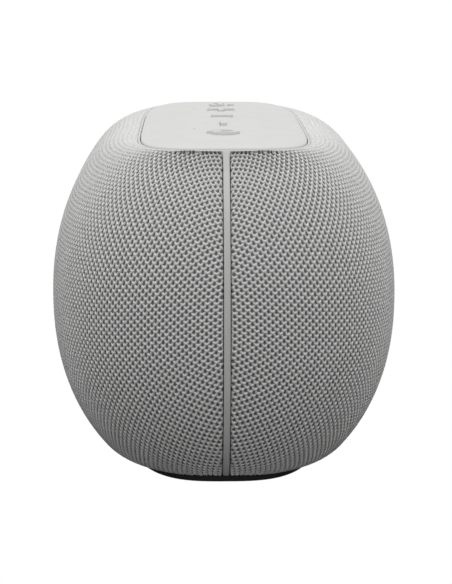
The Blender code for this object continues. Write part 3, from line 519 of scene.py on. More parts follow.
def make_brushed_group():
    """Long fine scratches along one axis, as on rolled or turned metal."""
    inputs = {"Position": ("Vector", (0.0, 0.0, 0.0)), "Line Size": ("Float", 0.15),
              "Stretch": ("Float", 30.0)}
    tree, given, result = shader_group("brushed_lines", inputs, {"Lines": "Float"})
    parts = node(tree, "SeparateXYZ", {0: given.outputs["Position"]})
    along = calculate(tree, "DIVIDE", parts.outputs["X"], given.outputs["Stretch"])
    joined = node(tree, "CombineXYZ", {"X": along, "Y": parts.outputs["Y"], "Z": parts.outputs["Z"]})
    scale = calculate(tree, "DIVIDE", 1.0 / MM, given.outputs["Line Size"])
    lines = node(tree, "TexNoise", {"Vector": joined.outputs[0], "Scale": scale, "Detail": 4.0})
    tree.links.new(lines.outputs["Fac"], result.inputs["Lines"])
    return tree


def make_weave_group():
    """A plain weave of fine threads on Object coordinates."""
    inputs = {"Position": ("Vector", (0.0, 0.0, 0.0)), "Thread": ("Float", 0.5)}
    tree, given, result = shader_group("plain_weave", inputs, {"Height": "Float"})
    parts = node(tree, "SeparateXYZ", {0: given.outputs["Position"]})
    turn = calculate(tree, "DIVIDE", math.pi / MM, given.outputs["Thread"])
    waves = []
    for axis in ("X", "Z"):
        waves.append(calculate(tree, "SINE", calculate(tree, "MULTIPLY", parts.outputs[axis], turn)))
    height = calculate(tree, "MULTIPLY_ADD", calculate(tree, "MULTIPLY", *waves), 0.5, 0.5)
    tree.links.new(height, result.inputs["Height"])
    return tree


def make_lobe_group():
    """One lobe of a stitch, repeated over the lattice: 1 on its crest and 0 in the gaps."""
    inputs = {"Lattice": ("Vector", (0.0, 0.0, 0.0)), "Centre X": ("Float", 0.0), "Centre Y": ("Float", 0.0),
              "Tilt": ("Float", 0.0), "Half Length": ("Float", 1.2), "Half Width": ("Float", 0.6)}
    tree, given, result = shader_group("stitch_lobe", inputs, {"Height": "Float"})
    parts = node(tree, "SeparateXYZ", {0: given.outputs["Lattice"]})
    offset = []
    for axis, pitch in (("X", STITCH_WIDTH), ("Y", STITCH_HEIGHT)):
        moved = calculate(tree, "SUBTRACT", parts.outputs[axis], given.outputs["Centre " + axis])
        wrapped = calculate(tree, "WRAP", moved, 0.5, -0.5)
        offset.append(calculate(tree, "MULTIPLY", wrapped, pitch))
    cosine = calculate(tree, "COSINE", given.outputs["Tilt"])
    sine = calculate(tree, "SINE", given.outputs["Tilt"])
    along = calculate(tree, "MULTIPLY_ADD", offset[0], cosine, calculate(tree, "MULTIPLY", offset[1], sine))
    across = calculate(tree, "SUBTRACT", calculate(tree, "MULTIPLY", offset[1], cosine),
                       calculate(tree, "MULTIPLY", offset[0], sine))
    long = calculate(tree, "POWER", calculate(tree, "DIVIDE", along, given.outputs["Half Length"]), 2.0)
    wide = calculate(tree, "POWER", calculate(tree, "DIVIDE", across, given.outputs["Half Width"]), 2.0)
    left = calculate(tree, "SUBTRACT", 1.0, calculate(tree, "ADD", long, wide))
    height = calculate(tree, "SQRT", calculate(tree, "MAXIMUM", left, 0.0))
    tree.links.new(height, result.inputs["Height"])
    return tree


def make_stitch_group(lobe_group):
    """The whole knit: lobe heights on both halves of the brick lattice, and the yarn's own fibres."""
    inputs = {"Lattice": ("Vector", (0.0, 0.0, 0.0)), "Fibre Size": ("Float", 0.12)}
    outputs = {"Height": "Float", "Fibre": "Float", "Yarn": "Float"}
    tree, given, result = shader_group("knit_stitches", inputs, outputs)
    where = given.outputs["Lattice"]
    tallest = None
    for shift in (0.0, 0.5):
        for x, y, tilt, length, width in LOBES:
            lobe = use_group(tree, lobe_group, {"Lattice": where, "Centre X": x / STITCH_WIDTH + shift,
                                                "Centre Y": y / STITCH_HEIGHT + shift,
                                                "Tilt": math.radians(tilt), "Half Length": length,
                                                "Half Width": width})
            height = lobe.outputs["Height"]
            tallest = height if tallest is None else calculate(tree, "MAXIMUM", tallest, height)
    tree.links.new(tallest, result.inputs["Height"])
    size = node(tree, "VectorMath", {0: where, 1: (STITCH_WIDTH, STITCH_HEIGHT, 1.0)}, operation="MULTIPLY")
    scale = calculate(tree, "DIVIDE", 1.0, given.outputs["Fibre Size"])
    fibre = node(tree, "TexNoise", {"Vector": size.outputs[0], "Scale": scale, "Detail": 3.0,
                                    "Roughness": 0.65, "Distortion": 0.6})
    tree.links.new(fibre.outputs["Fac"], result.inputs["Fibre"])
    yarn = node(tree, "TexNoise", {"Vector": where, "Scale": 1.7, "Detail": 1.0})
    tree.links.new(remap(tree, yarn.outputs["Fac"], 0.3, 0.7, 0.0, 1.0), result.inputs["Yarn"])
    return tree


GRAIN = make_grain_group()
BRUSHED = make_brushed_group()
WEAVE = make_weave_group()
STITCHES = make_stitch_group(make_lobe_group())


# ---------------------------------------------------------------- materials

def new_material(name, roughness, metallic=0.0, specular=0.5):
    result = bpy.data.materials.new(name)
    result.use_nodes = True
    tree = result.node_tree
    shader = tree.nodes["Principled BSDF"]
    shader.inputs["Roughness"].default_value = roughness
    shader.inputs["Metallic"].default_value = metallic
    shader.inputs["Specular IOR Level"].default_value = specular
    return result, tree, shader


def raise_bump(tree, shader, height, distance):
    bump = node(tree, "Bump", {"Height": height, "Distance": distance * MM, "Strength": 1.0})
    tree.links.new(bump.outputs["Normal"], shader.inputs["Normal"])


def grained(name, dark, light, roughness, grain=0.4, mottle=12.0, bump=0.02, metallic=0.0, specular=0.5,
            speckle=0.35):
    """A finish with moulded grain: colours from mottle and speckle, gloss that varies, and fine bump."""
    result, tree, shader = new_material(name, roughness[0], metallic, specular)
    where = node(tree, "TexCoord").outputs["Object"]
    surface = use_group(tree, GRAIN, {"Position": where, "Grain Size": grain, "Mottle Size": mottle})
    share = calculate(tree, "MULTIPLY", surface.outputs["Speckle"], speckle)
    blend = calculate(tree, "MULTIPLY_ADD", surface.outputs["Mottle"], 1.0 - speckle, share)
    tree.links.new(mix_colour(tree, blend, (*dark, 1.0), (*light, 1.0)), shader.inputs["Base Color"])
    gloss = remap(tree, surface.outputs["Speckle"], 0.0, 1.0, *roughness)
    tree.links.new(gloss, shader.inputs["Roughness"])
    raise_bump(tree, shader, surface.outputs["Height"], bump)
    return result


def brushed(name, dark, light, roughness, line=0.15, stretch=30.0, bump=0.004):
    """Bare metal with brushed lines in its colour, gloss and bump."""
    result, tree, shader = new_material(name, roughness[0], 1.0)
    where = node(tree, "TexCoord").outputs["Object"]
    surface = use_group(tree, BRUSHED, {"Position": where, "Line Size": line, "Stretch": stretch})
    lines = surface.outputs["Lines"]
    tree.links.new(mix_colour(tree, lines, (*dark, 1.0), (*light, 1.0)), shader.inputs["Base Color"])
    tree.links.new(remap(tree, lines, 0.3, 0.7, *roughness), shader.inputs["Roughness"])
    raise_bump(tree, shader, lines, bump)
    return result


def woven(name, dark, light, thread, roughness, bump):
    """Plain-woven cloth, such as a treated spider or a silk dome."""
    result, tree, shader = new_material(name, roughness)
    where = node(tree, "TexCoord").outputs["Object"]
    cloth = use_group(tree, WEAVE, {"Position": where, "Thread": thread}).outputs["Height"]
    tree.links.new(mix_colour(tree, cloth, (*dark, 1.0), (*light, 1.0)), shader.inputs["Base Color"])
    tree.links.new(remap(tree, cloth, 0.0, 1.0, roughness, roughness - 0.15), shader.inputs["Roughness"])
    raise_bump(tree, shader, cloth, bump)
    return result


def make_knit():
    """Soft light yarn: painted shade turns it dark grey where the stitches part, and its crests keep the yarn
    colour with fibre texture.
    """
    result, tree, shader = new_material("light_knit_yarn", 0.95, specular=0.15)
    lattice = node(tree, "UVMap", uv_map="lattice").outputs["UV"]
    knit = use_group(tree, STITCHES, {"Lattice": lattice, "Fibre Size": 0.13})
    height = knit.outputs["Height"]
    # Painted shade mask: 0 in the gaps between stitches, rising to 1 where the stitch height reaches 0.35.
    painted_gap_shade = remap(tree, height, 0.0, 0.35, 0.0, 1.0)
    yarn = mix_colour(tree, knit.outputs["Yarn"], (0.84, 0.838, 0.832, 1.0), (0.93, 0.928, 0.922, 1.0))
    fibres = remap(tree, knit.outputs["Fibre"], 0.3, 0.7, 0.86, 1.0)
    shade = node(tree, "CombineColor", {0: fibres, 1: fibres, 2: fibres}).outputs[0]
    fibred_yarn = node(tree, "Mix", {0: 1.0, 6: yarn, 7: shade}, data_type="RGBA", blend_type="MULTIPLY").outputs[2]
    # Painted shade: dark grey in the gaps between stitches, the fibred yarn colour on the crests.
    colour = mix_colour(tree, painted_gap_shade, (0.21, 0.209, 0.21, 1.0), fibred_yarn)
    tree.links.new(colour, shader.inputs["Base Color"])
    tree.links.new(remap(tree, knit.outputs["Fibre"], 0.2, 0.8, 1.0, 0.85), shader.inputs["Roughness"])
    shader.inputs["Sheen Weight"].default_value = 0.08
    relief = calculate(tree, "MULTIPLY_ADD", knit.outputs["Fibre"], 0.25, height)
    raise_bump(tree, shader, relief, 0.16)
    return result


def make_board():
    """Solder-masked board with fine tracks and scattered pads."""
    result, tree, shader = new_material("solder_masked_board", 0.4)
    where = node(tree, "TexCoord").outputs["Object"]
    tracks = node(tree, "TexBrick", {"Vector": where, "Scale": 0.25 / MM})
    line = remap(tree, tracks.outputs["Fac"], 0.3, 0.7, 0.0, 1.0)
    tree.links.new(mix_colour(tree, line, (0.01, 0.11, 0.045, 1.0), (0.03, 0.22, 0.09, 1.0)),
                   shader.inputs["Base Color"])
    tree.links.new(remap(tree, line, 0.0, 1.0, 0.4, 0.3), shader.inputs["Roughness"])
    raise_bump(tree, shader, line, 0.03)
    return result


LIGHT_PLASTIC = grained("light_satin_plastic", (0.715, 0.712, 0.704), (0.745, 0.742, 0.735), (0.58, 0.48),
                        grain=0.45, bump=0.012, specular=0.35)
KNIT = make_knit()
BLACK_PLASTIC = grained("black_satin_plastic", (0.012, 0.012, 0.013), (0.022, 0.022, 0.023), (0.5, 0.4),
                        grain=0.5, bump=0.015)
FINISHES = {
    "light_plastic": LIGHT_PLASTIC,
    "light_knit": KNIT,
    "black_plastic": BLACK_PLASTIC,
    "dark_rubber": grained("matt_rubber", (0.014, 0.014, 0.014), (0.03, 0.03, 0.03), (0.95, 0.8), grain=0.3,
                           bump=0.02),
    "frame_plastic": grained("grey_frame_plastic", (0.22, 0.22, 0.22), (0.27, 0.27, 0.27), (0.7, 0.55)),
    "cabinet_plastic": grained("cabinet_plastic", (0.033, 0.033, 0.037), (0.05, 0.05, 0.055), (0.65, 0.5),
                               grain=0.8),
    "plated_steel": brushed("zinc_plated_steel", (0.45, 0.45, 0.46), (0.66, 0.66, 0.67), (0.28, 0.45)),
    "ferrite": grained("ferrite", (0.035, 0.035, 0.04), (0.06, 0.06, 0.065), (0.7, 0.5), grain=0.25),
    "cone_paper": grained("coated_cone_paper", (0.02, 0.02, 0.02), (0.045, 0.045, 0.044), (0.9, 0.75),
                          grain=0.7, bump=0.06),
    "spider_cloth": woven("treated_spider_cloth", (0.32, 0.18, 0.05), (0.52, 0.33, 0.13), 0.5, 0.9, 0.08),
    "dome_silk": woven("coated_dome_silk", (0.035, 0.035, 0.042), (0.08, 0.08, 0.09), 0.25, 0.55, 0.02),
    "aluminium": brushed("rolled_aluminium", (0.68, 0.68, 0.69), (0.8, 0.8, 0.81), (0.25, 0.42)),
    "board_green": make_board(),
    "copper_tape": brushed("copper_tape", (0.62, 0.3, 0.14), (0.8, 0.43, 0.22), (0.25, 0.45), line=0.3),
    "yellow_tape": grained("taped_winding", (0.68, 0.5, 0.07), (0.8, 0.63, 0.13), (0.55, 0.4), grain=0.6),
    "cable_sheath": grained("soft_cable_sheath", (0.022, 0.022, 0.022), (0.04, 0.04, 0.04), (0.7, 0.55),
                            grain=0.35),
}


def finish_frame_nodes():
    """Gives every CAD node the finish of its slot."""
    for part in frame["record"]["subparts"]:
        mesh = frame["nodes"][part["node"]].data
        mesh.materials.clear()
        mesh.materials.append(FINISHES[part["material_slot"]])


def add_piece(item, slot, body, *nodes):
    item.data.materials.clear()
    item.data.materials.append(FINISHES[slot])
    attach(item, body)
    if nodes:
        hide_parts(*nodes)
    return item


# ---------------------------------------------------------------- top panel and keys

def panel_ring(offset, drop, share=1.0):
    outline = full_loop(PANEL_HALF_LENGTH + offset, PANEL_HALF_WIDTH + offset, PANEL_POWER)
    return [(x * share, y * share, panel_height(x * share, y * share) - drop) for x, y in outline]


def edge_ring(offset, drop):
    """A ring lowered by drop from the panel's edge, and not from the crown above it."""
    outline = full_loop(PANEL_HALF_LENGTH + offset, PANEL_HALF_WIDTH + offset, PANEL_POWER)
    edge = full_loop(PANEL_HALF_LENGTH, PANEL_HALF_WIDTH, PANEL_POWER)
    return [(x, y, panel_height(ex, ey) - drop) for (x, y), (ex, ey) in zip(outline, edge)]


def make_top_panel():
    crown = [panel_ring(0.0, 0.0, share) for share in np.linspace(0.03, 0.95, 24)]
    crown.append(panel_ring(-1.5, 0.0))
    corner = [edge_ring(-PANEL_EDGE * (1 - math.sin(a)), PANEL_EDGE * (1 - math.cos(a)))
              for a in np.linspace(0.0, math.pi / 2, 7)]
    under = [edge_ring(0.0, 1.8), edge_ring(0.0, PANEL_SKIRT - 0.2), edge_ring(-0.2, PANEL_SKIRT)]
    under += [edge_ring(-1.5, PANEL_SKIRT), panel_ring(-1.7, PANEL_WALL)]
    under += [panel_ring(0.0, PANEL_WALL, share) for share in np.linspace(0.93, 0.03, 12)]
    panel = extruded_rings("top_panel_shell", crown + corner + under)
    for index, (name, symbol) in enumerate(KEYS):
        for loop in shifted(symbol(KEY_CLEARANCE), key_x(index)):
            cut(panel, prism(name + "_opening", [loop], 120.0, 140.0))
    for side in (-1, 1):
        cut(panel, disc("microphone_hole", MICROPHONE_RADIUS, 120.0, 140.0, side * MICROPHONE_X, MICROPHONE_Y,
                        segments=24))
    smooth(panel, 35.0)
    add_piece(panel, "light_plastic", "housing", "top_panel")


def make_key(index, name, symbol):
    x = key_x(index)
    top = panel_height(x, 0.0) + KEY_RISE
    flange_top = panel_height(abs(x) + FLANGE_RADIUS, FLANGE_RADIUS) - PANEL_WALL - FLANGE_GAP
    key = disc(name + "_cap", FLANGE_RADIUS, flange_top - FLANGE_THICKNESS, flange_top, x, bevel=0.2)
    weld_to(key, disc("stem", STEM_RADIUS, STEM_END, flange_top - 0.4, x, segments=32))
    for loop in shifted(symbol(0.0), x):
        raised = prism("raised_symbol", [loop], flange_top - 0.5, top)
        apply_modifier(raised, "edge", "BEVEL", width=KEY_EDGE * MM, segments=3, limit_method="ANGLE",
                       angle_limit=math.radians(50))
        weld_to(key, raised)
    smooth(key, 35.0)
    add_piece(key, "light_plastic", name, name)


# ---------------------------------------------------------------- collar and end strips

def collar_ring(offset, drop=0.0):
    outline = full_loop(PANEL_HALF_LENGTH + offset, PANEL_HALF_WIDTH + offset, PANEL_POWER)
    edge = full_loop(PANEL_HALF_LENGTH, PANEL_HALF_WIDTH, PANEL_POWER)
    return [(x, y, collar_height(ex, ey) - drop) for (x, y), (ex, ey) in zip(outline, edge)]


def body_rows(side, columns):
    """The body's surface on one side, as rows of points from the base edge up to the collar."""
    def row(z, least_length=0.0):
        half_length, half_depth = barrel(z)
        flat = half_loop(max(half_length, least_length), half_depth, PLAN_POWER, side, columns)
        return np.column_stack([flat, np.full(len(flat), z)])

    def curve(first, control, last, shares):
        return [(1 - t) ** 2 * first + 2 * t * (1 - t) * control + t ** 2 * last for t in shares]

    low_edge = half_loop(BASE_HALF_LENGTH + BASE_MEETING, BASE_HALF_WIDTH + BASE_MEETING, BASE_POWER, side,
                         columns)
    low_edge = np.column_stack([low_edge, np.full(len(low_edge), BASE_TOP - 0.1)])
    high_edge = half_loop(PANEL_HALF_LENGTH + COLLAR_MEETING, PANEL_HALF_WIDTH + COLLAR_MEETING, PANEL_POWER,
                          side, columns)
    edge = half_loop(PANEL_HALF_LENGTH, PANEL_HALF_WIDTH, PANEL_POWER, side, columns)
    heights = np.array([collar_height(x, y) - 0.2 for x, y in edge])
    high_edge = np.column_stack([high_edge, heights])
    rows = curve(low_edge, row(LOW_CONTROL_Z), row(LOW_SHOULDER_Z), np.arange(LOW_ROWS) / LOW_ROWS)
    rows += [row(z) for z in np.linspace(LOW_SHOULDER_Z, HIGH_SHOULDER_Z, BODY_ROWS + 1)]
    high_control = row(HIGH_CONTROL_Z, PANEL_HALF_LENGTH + COLLAR_MEETING)
    rows += curve(row(HIGH_SHOULDER_Z), high_control, high_edge, (np.arange(HIGH_ROWS) + 1) / HIGH_ROWS)
    return np.array(rows)


def strip_line():
    """The line of the strip's outer face, as (distance from the centre, height), from base to collar."""
    rows = body_rows(-1, 8)[:, 0, :]
    return [(abs(x), z) for x, _, z in rows[4::3]] + [(PANEL_HALF_LENGTH + 0.7, rows[-1, 2] + 0.05)]


def make_strip(side):
    """An end strip: a flat face between two bevels that flares into the collar at its top."""
    line = strip_line()
    top = line[-1][1]
    section = [(-1.0, STRIP_DEPTH), (-1.0, 0.5), (-0.97, 0.22), (-0.88, 0.08), (-0.62, 0.0), (-0.3, -0.01),
               (0.3, -0.01), (0.62, 0.0), (0.88, 0.08), (0.97, 0.22), (1.0, 0.5), (1.0, STRIP_DEPTH)]
    deselect_all()
    bpy.ops.mesh.primitive_grid_add(x_subdivisions=len(section) - 1, y_subdivisions=len(line) - 1, size=1.0)
    strip = named("end_strip_left" if side < 0 else "end_strip_right")
    for row, (reach, z) in enumerate(line):
        before = Vector(line[max(row - 1, 0)])
        after = Vector(line[min(row + 1, len(line) - 1)])
        along = (after - before).normalized()
        outward = Vector((along.y, -along.x))
        below = max(0.0, STRIP_FILLET - (top - z) * 0.8)
        flare = STRIP_FILLET - math.sqrt(STRIP_FILLET ** 2 - min(below, STRIP_FILLET) ** 2)
        half_width = STRIP_HALF_WIDTH + flare
        for column, (share, inset) in enumerate(section):
            spot = Vector((reach, z)) - outward * inset
            vertex = strip.data.vertices[row * len(section) + column]
            vertex.co = Vector((side * spot.x, -side * share * half_width, spot.y)) * MM
    bpy.ops.object.mode_set(mode="EDIT")
    bpy.ops.mesh.select_all(action="DESELECT")
    bpy.ops.mesh.select_non_manifold()
    bpy.ops.mesh.edge_face_add()
    bpy.ops.mesh.select_all(action="SELECT")
    bpy.ops.mesh.normals_make_consistent(inside=False)
    bpy.ops.object.mode_set(mode="OBJECT")
    smooth(strip, 50.0)
    add_piece(strip, "light_plastic", "housing", "trim_frame")


def make_collar():
    """The ledge round the panel, with its rounded outer edge, and the legs that stand on the cabinet."""
    corner = [collar_ring(COLLAR_OUT - COLLAR_EDGE * (1 - math.sin(a)), COLLAR_EDGE * (1 - math.cos(a)))
              for a in np.linspace(0.0, math.pi / 2, 5)]
    rings = [collar_ring(COLLAR_IN, 0.12), collar_ring(COLLAR_IN + 0.12, 0.0)] + corner
    rings += [edge_ring(COLLAR_OUT, COLLAR_FLOOR), edge_ring(-COLLAR_SHELF, COLLAR_FLOOR),
              edge_ring(-COLLAR_SHELF, COLLAR_LEDGE), edge_ring(COLLAR_IN, COLLAR_LEDGE)]
    collar = extruded_rings("panel_collar", rings, close="loop")
    for sx in (-1, 1):
        for sy in (-1, 1):
            leg = disc("leg", COLLAR_LEG_RADIUS, COLLAR_LEG_LOW, COLLAR_LEG_TOP, sx * COLLAR_LEG_X,
                       sy * COLLAR_LEG_Y, bevel=0.3, segments=24)
            weld_to(collar, leg)
    smooth(collar, 40.0)
    add_piece(collar, "light_plastic", "housing", "trim_frame")


# ---------------------------------------------------------------- base

def base_ring(offset, z):
    outline = full_loop(BASE_HALF_LENGTH + offset, BASE_HALF_WIDTH + offset, BASE_POWER)
    return [(x, y, z) for x, y in outline]


def make_base():
    floor = BASE_LOW + BASE_FLOOR
    rings = [base_ring(-BASE_RING, BASE_LOW), base_ring(-12.0, BASE_LOW)]
    rings += [base_ring(-BASE_EDGE * (1 - math.sin(a)), BASE_LOW + BASE_EDGE * (1 - math.cos(a)))
              for a in np.linspace(0.0, math.pi / 2, 6)]
    rings += [base_ring(0.0, BASE_TOP - 0.2), base_ring(-0.2, BASE_TOP), base_ring(-3.0, BASE_TOP)]
    rings += [base_ring(-3.0, BASE_LIP), base_ring(-5.0, BASE_LIP), base_ring(-5.0, floor),
              base_ring(-BASE_RING, floor)]
    base = extruded_rings("base_tray", rings)
    for sx in (-1, 1):
        for sy in (-1, 1):
            x = sx * POST_X
            y = sy * POST_Y
            weld_to(base, disc("post", POST_RADIUS, floor - 0.5, POST_TOP, x, y))
            cut(base, disc("bore", BORE_RADIUS, 0.0, 30.0, x, y))
            cut(base, disc("counterbore", COUNTERBORE_RADIUS, 0.0, COUNTERBORE_TOP, x, y))
    smooth(base, 35.0)
    add_piece(base, "black_plastic", "housing", "base_cover")
    rings = [base_ring(-FOOT_OUT - 0.2, 0.0), base_ring(-FOOT_OUT, 0.2), base_ring(-FOOT_OUT, FOOT_HEIGHT),
             base_ring(-FOOT_IN, FOOT_HEIGHT), base_ring(-FOOT_IN, 0.2), base_ring(-FOOT_IN + 0.2, 0.0),
             base_ring(-(FOOT_OUT + FOOT_IN) / 2, 0.12)]
    foot = extruded_rings("rubber_foot", rings, close="loop")
    smooth(foot, 35.0)
    add_piece(foot, "dark_rubber", "housing", "foot_ring")


# ---------------------------------------------------------------- rear port panel

def rear_surface(x, z):
    half_length, half_depth = barrel(z)
    return half_depth * (1 - (abs(x) / half_length) ** PLAN_POWER) ** (1 / PLAN_POWER)


def port_ring(offset, radius, proud=None, depth=None):
    """A rounded ring of the port panel, on the body's surface or at a fixed depth, facing the rear."""
    outline = rounded_box(PORT_HALF + offset, PORT_HALF_HEIGHT + offset, radius, steps=8)
    fine = []
    for (x0, z0), (x1, z1) in zip(outline, outline[1:] + outline[:1]):
        steps = max(1, round(math.hypot(x1 - x0, z1 - z0) / 2.0))
        fine += [(x0 + (x1 - x0) * i / steps, z0 + (z1 - z0) * i / steps) for i in range(steps)]
    return [(-x, rear_surface(x, z + PORT_Z) + proud if depth is None else depth, z + PORT_Z)
            for x, z in fine]


def resampled(ring, count):
    """The same closed ring with evenly spaced points."""
    points = np.array(ring + ring[:1])
    along = np.concatenate([[0.0], np.cumsum(np.linalg.norm(np.diff(points, axis=0), axis=1))])
    wanted = np.linspace(0.0, along[-1], count, endpoint=False)
    return [tuple(np.interp(w, along, points[:, k]) for k in range(3)) for w in wanted]


def make_port_panel():
    rings = [port_ring(-1.8, 1.6, depth=PORT_FACE),
             port_ring(-1.6, 1.8, depth=PORT_FACE + 0.2), port_ring(-1.4, 2.0, proud=-0.2),
             port_ring(-1.15, 2.2, proud=0.35), port_ring(-0.8, 2.5, proud=0.6),
             port_ring(0.4, 3.2, proud=0.6), port_ring(0.8, 3.6, proud=0.35),
             port_ring(1.0, 3.8, proud=-0.2), port_ring(1.0, 3.8, proud=-0.9),
             port_ring(-0.4, 2.6, proud=-1.6), port_ring(-0.4, 2.6, depth=PORT_BACK)]
    panel = extruded_rings("port_bezel", [resampled(ring, 160) for ring in rings])
    eight = arc(5.6, -90, 90, 24, (4.2, 0.0)) + arc(5.6, 90, 270, 24, (-4.2, 0.0))
    for name, loop in (("inlet", shifted([eight], -INLET_X)),
                       ("service", [rounded_box(4.8, 2.0, 1.9, (-SERVICE_X, 0.0), 12)]),
                       ("mute", [arc(3.2, 0, 350, 35, (-MUTE_X, 0.0))])):
        cutter = prism(name + "_opening", loop, 50.0, 58.0)
        to_rear(cutter)
        cut(panel, cutter)
    smooth(panel, 35.0)
    add_piece(panel, "black_plastic", "housing", "port_panel")
    button = disc("mute_cap", 2.8, 0.5, 5.2, bevel=0.45)
    weld_to(button, disc("collar", 4.0, 0.0, 1.2, bevel=0.15))
    to_rear(button, MUTE_X, MUTE_BACK)
    smooth(button, 40.0)
    add_piece(button, "black_plastic", "mute_button", "mute_button")


def to_rear(item, x=0.0, y=0.0):
    """Turns a piece built facing +Z to face +Y at the port panel's height. Its local X then runs to -X."""
    for vertex in item.data.vertices:
        local = vertex.co.copy()
        vertex.co = (x * MM - local.x, y * MM + local.z, PORT_Z * MM + local.y)
    item.data.update()


# ---------------------------------------------------------------- knit cover

def lobe_heights(p, q):
    """Stitch height at lattice places: 0 in the gaps, and highest towards the foot of a stitch."""
    tallest = np.zeros_like(p)
    for shift in (0.0, 0.5):
        for x, y, tilt, length, width in LOBES:
            dx = p - x / STITCH_WIDTH - shift
            dy = q - y / STITCH_HEIGHT - shift
            dx = (dx - np.round(dx)) * STITCH_WIDTH
            dy = (dy - np.round(dy)) * STITCH_HEIGHT
            c = math.cos(math.radians(tilt))
            s = math.sin(math.radians(tilt))
            left = 1 - ((dx * c + dy * s) / length) ** 2 - ((dy * c - dx * s) / width) ** 2
            height = np.clip(left, 0.0, 1.0) ** 0.5 * (1.0 - SHINGLE * dy)
            tallest = np.maximum(tallest, height)
    return tallest


def powers(value, factors):
    return sum(factor * value ** power for power, factor in enumerate(factors))


def lattice_places(side, along, height, waist):
    """Stitch numbers across (towards +X) and up, for the stretched knit on one side."""
    reach = along[:, -1:] / 2
    depth = reach - np.abs(along - reach)
    level = height / LAYOUT_HEIGHT
    far = 1.0 - depth / reach
    crowding = np.exp(-depth / COLUMN_NEAR) * powers(level, COLUMN_CROWDING)
    leaning = (reach - reach[waist]) * far ** 2 * powers(level, COLUMN_LEANING)
    across = COLUMNS_PER_MM * (depth - reach) + crowding + leaning
    p = across * np.sign((along - reach) * side)
    sinking = np.exp(-depth / ROW_NEAR) * powers(level, ROW_SINKING)
    hanging = far ** 3 * powers(level, ROW_HANGING)
    spreading = ROW_SPREADING * level ** 3 / (1.0 + level ** 2)
    q = ROWS_PER_MM * height - spreading + sinking + hanging
    return p, q


def grid_normals(points):
    across = np.gradient(points, axis=1)
    up = np.gradient(points, axis=0)
    normal = np.cross(across, up)
    return normal / np.linalg.norm(normal, axis=2, keepdims=True)


def running_length(points, axis):
    steps = np.linalg.norm(np.diff(points, axis=axis), axis=2)
    start = np.zeros_like(steps[:1] if axis == 0 else steps[:, :1])
    return np.concatenate([start, np.cumsum(steps, axis=axis)], axis=axis)


def soft_step(value, width):
    t = np.clip(value / width, 0.0, 1.0)
    return t * t * (3 - 2 * t)


def knit_surface(side):
    """Points, normals and lattice places of one side's knit, and the smooth body surface under it."""
    smooth_body = body_rows(side, KNIT_COLUMNS - 1)
    along = running_length(smooth_body, 1)
    from_strip = np.minimum(along, along[:, -1:] - along)
    up = running_length(smooth_body, 0)
    waist = int(np.argmin(np.abs(smooth_body[:, 0, 2] - WAIST_Z)))
    height = up - up[waist:waist + 1]
    p, q = lattice_places(side, along, height, waist)
    stitch = lobe_heights(p, q)
    from_edge = np.minimum(np.minimum(from_strip, up), up[-1:] - up)
    tuck = 1.0 - soft_step(from_edge, EDGE_ROLL)
    offset = YARN_HEIGHT * stitch * (1.0 - 0.4 * tuck) - KNIT_BACK - EDGE_TUCK * tuck ** 1.5
    points = smooth_body + grid_normals(smooth_body) * offset[..., None]
    return points, grid_normals(points), np.stack([p, q], axis=2), smooth_body


def make_knit_panel(name, side, first, last, points, normals, lattice, smooth_body):
    """One panel of the knit between two columns, on a grid whose points are moved to their places."""
    rows = len(points)
    columns = last - first + 1
    deselect_all()
    bpy.ops.mesh.primitive_grid_add(x_subdivisions=columns - 1, y_subdivisions=rows - 1, size=1.0)
    panel = named(name)
    mesh = panel.data
    span = slice(first, last + 1)
    mesh.vertices.foreach_set("co", (points[:, span] * MM).astype(np.float32).ravel())
    corners = np.zeros(len(mesh.loops), np.int32)
    mesh.loops.foreach_get("vertex_index", corners)
    places = lattice[:, span].reshape(-1, 2)
    mesh.uv_layers[0].name = "lattice"
    mesh.uv_layers[0].data.foreach_set("uv", places[corners].astype(np.float32).ravel())
    mesh.polygons.foreach_set("use_smooth", np.ones(len(mesh.polygons), bool))
    mesh.update()
    mesh.normals_split_custom_set_from_vertices(normals[:, span].reshape(-1, 3).astype(np.float32))
    if side > 0:
        open_port(panel)
    body = smooth_body[:, span]
    width = running_length(body, 1)[:, -1].max() * MM
    height = running_length(body, 0)[-1].max() * MM
    cells = np.cross(body[1:, 1:] - body[:-1, :-1], body[1:, :-1] - body[:-1, 1:])
    area = float(np.linalg.norm(cells, axis=2).sum() / 2) * MM * MM
    add_piece(panel, "light_knit", "housing", "fabric_front" if side < 0 else "fabric_rear")
    return panel, (float(width), float(height)), area


def open_port(panel):
    """Cuts the window for the port panel out of the rear knit."""
    keep_only(panel)
    bpy.ops.object.mode_set(mode="EDIT")
    shape = bmesh.from_edit_mesh(panel.data)
    bpy.ops.mesh.select_all(action="DESELECT")
    bpy.context.tool_settings.mesh_select_mode = (False, False, True)
    found = False
    for face in shape.faces:
        middle = face.calc_center_median() / MM
        inside = abs(middle.x) < PORT_HALF and abs(middle.z - PORT_Z) < PORT_HALF_HEIGHT
        face.select_set(inside)
        found = found or inside
    bmesh.update_edit_mesh(panel.data)
    if found:
        bpy.ops.mesh.delete(type="FACE")
    bpy.context.tool_settings.mesh_select_mode = (True, False, False)
    bpy.ops.object.mode_set(mode="OBJECT")


def make_knit_cover():
    for side, label in ((-1, "front"), (1, "rear")):
        surface = knit_surface(side)
        bounds = np.linspace(0, KNIT_COLUMNS - 1, KNIT_PANELS + 1).round().astype(int)
        for number, (first, last) in enumerate(zip(bounds, bounds[1:]), start=1):
            panel, flat, area = make_knit_panel(f"knit_{label}_{number}", side, int(first), int(last),
                                                *surface)


# ---------------------------------------------------------------- stage, light and camera

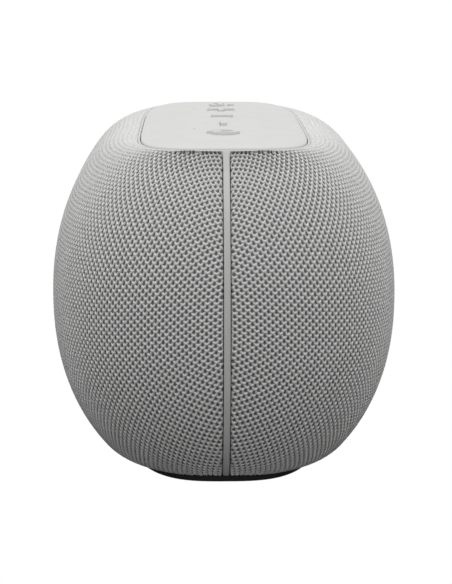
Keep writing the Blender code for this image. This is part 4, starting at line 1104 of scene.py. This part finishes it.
def make_stage():
    """A pale floor that fades into the backdrop; the soft light from above comes from the sky."""
    deselect_all()
    bpy.ops.mesh.primitive_plane_add(size=6.0, location=(0.0, 0.0, 0.0))
    floor = named("pale_floor")
    floor.visible_diffuse = False
    floor.visible_glossy = False
    white = bpy.data.materials.new("pale_floor")
    white.use_nodes = True
    tree = white.node_tree
    tree.nodes.remove(tree.nodes["Principled BSDF"])
    glow = node(tree, "Emission", {"Color": (1.0, 1.0, 1.0, 1.0), "Strength": 1.0})
    tree.links.new(glow.outputs[0], tree.nodes["Material Output"].inputs["Surface"])
    floor.data.materials.append(white)


def make_sky():
    """An overcast sky: brightest overhead, dim below the horizon, and plain white where it is seen."""
    zenith_gain = 1.5
    level = 0.5
    ground = 0.04
    world = bpy.data.worlds.new("studio")
    bpy.context.scene.world = world
    world.use_nodes = True
    tree = world.node_tree
    background = tree.nodes["Background"]
    direction = node(tree, "TexCoord").outputs["Generated"]
    up = node(tree, "SeparateXYZ", {0: direction}).outputs["Z"]
    bright = calculate(tree, "MULTIPLY_ADD", up, zenith_gain * level, level)
    above = node(tree, "MapRange", {"Value": up, "From Min": -0.05, "From Max": 0.05}).outputs["Result"]
    light = node(tree, "Mix", {0: above, 2: ground, 3: bright}, data_type="FLOAT").outputs[0]
    seen = node(tree, "LightPath").outputs["Is Camera Ray"]
    strength = node(tree, "Mix", {0: seen, 2: light, 3: 1.0}, data_type="FLOAT").outputs[0]
    background.inputs["Color"].default_value = (1.0, 1.0, 1.0, 1.0)
    tree.links.new(strength, background.inputs["Strength"])


def make_camera():
    """A low three-quarter view of the narrow end."""
    place = Vector((-0.7269, 0.0128, 0.2092))
    target = Vector((0.0, 0.0, 0.067))
    deselect_all()
    bpy.ops.object.camera_add(location=place)
    camera = named("studio_camera")
    camera.rotation_mode = "QUATERNION"
    camera.rotation_quaternion = (target - place).to_track_quat("-Z", "Y")
    camera.data.lens = 104.0
    camera.data.shift_x = 0.0071
    camera.data.shift_y = -0.0377
    bpy.context.scene.camera = camera
    bpy.context.scene.view_settings.view_transform = "Standard"


make_stage()
make_sky()
make_camera()
finish_frame_nodes()
make_top_panel()
for number, (key_name, key_symbol) in enumerate(KEYS):
    make_key(number, key_name, key_symbol)
make_collar()
make_strip(-1)
make_strip(1)
make_base()
make_port_panel()
make_knit_cover()
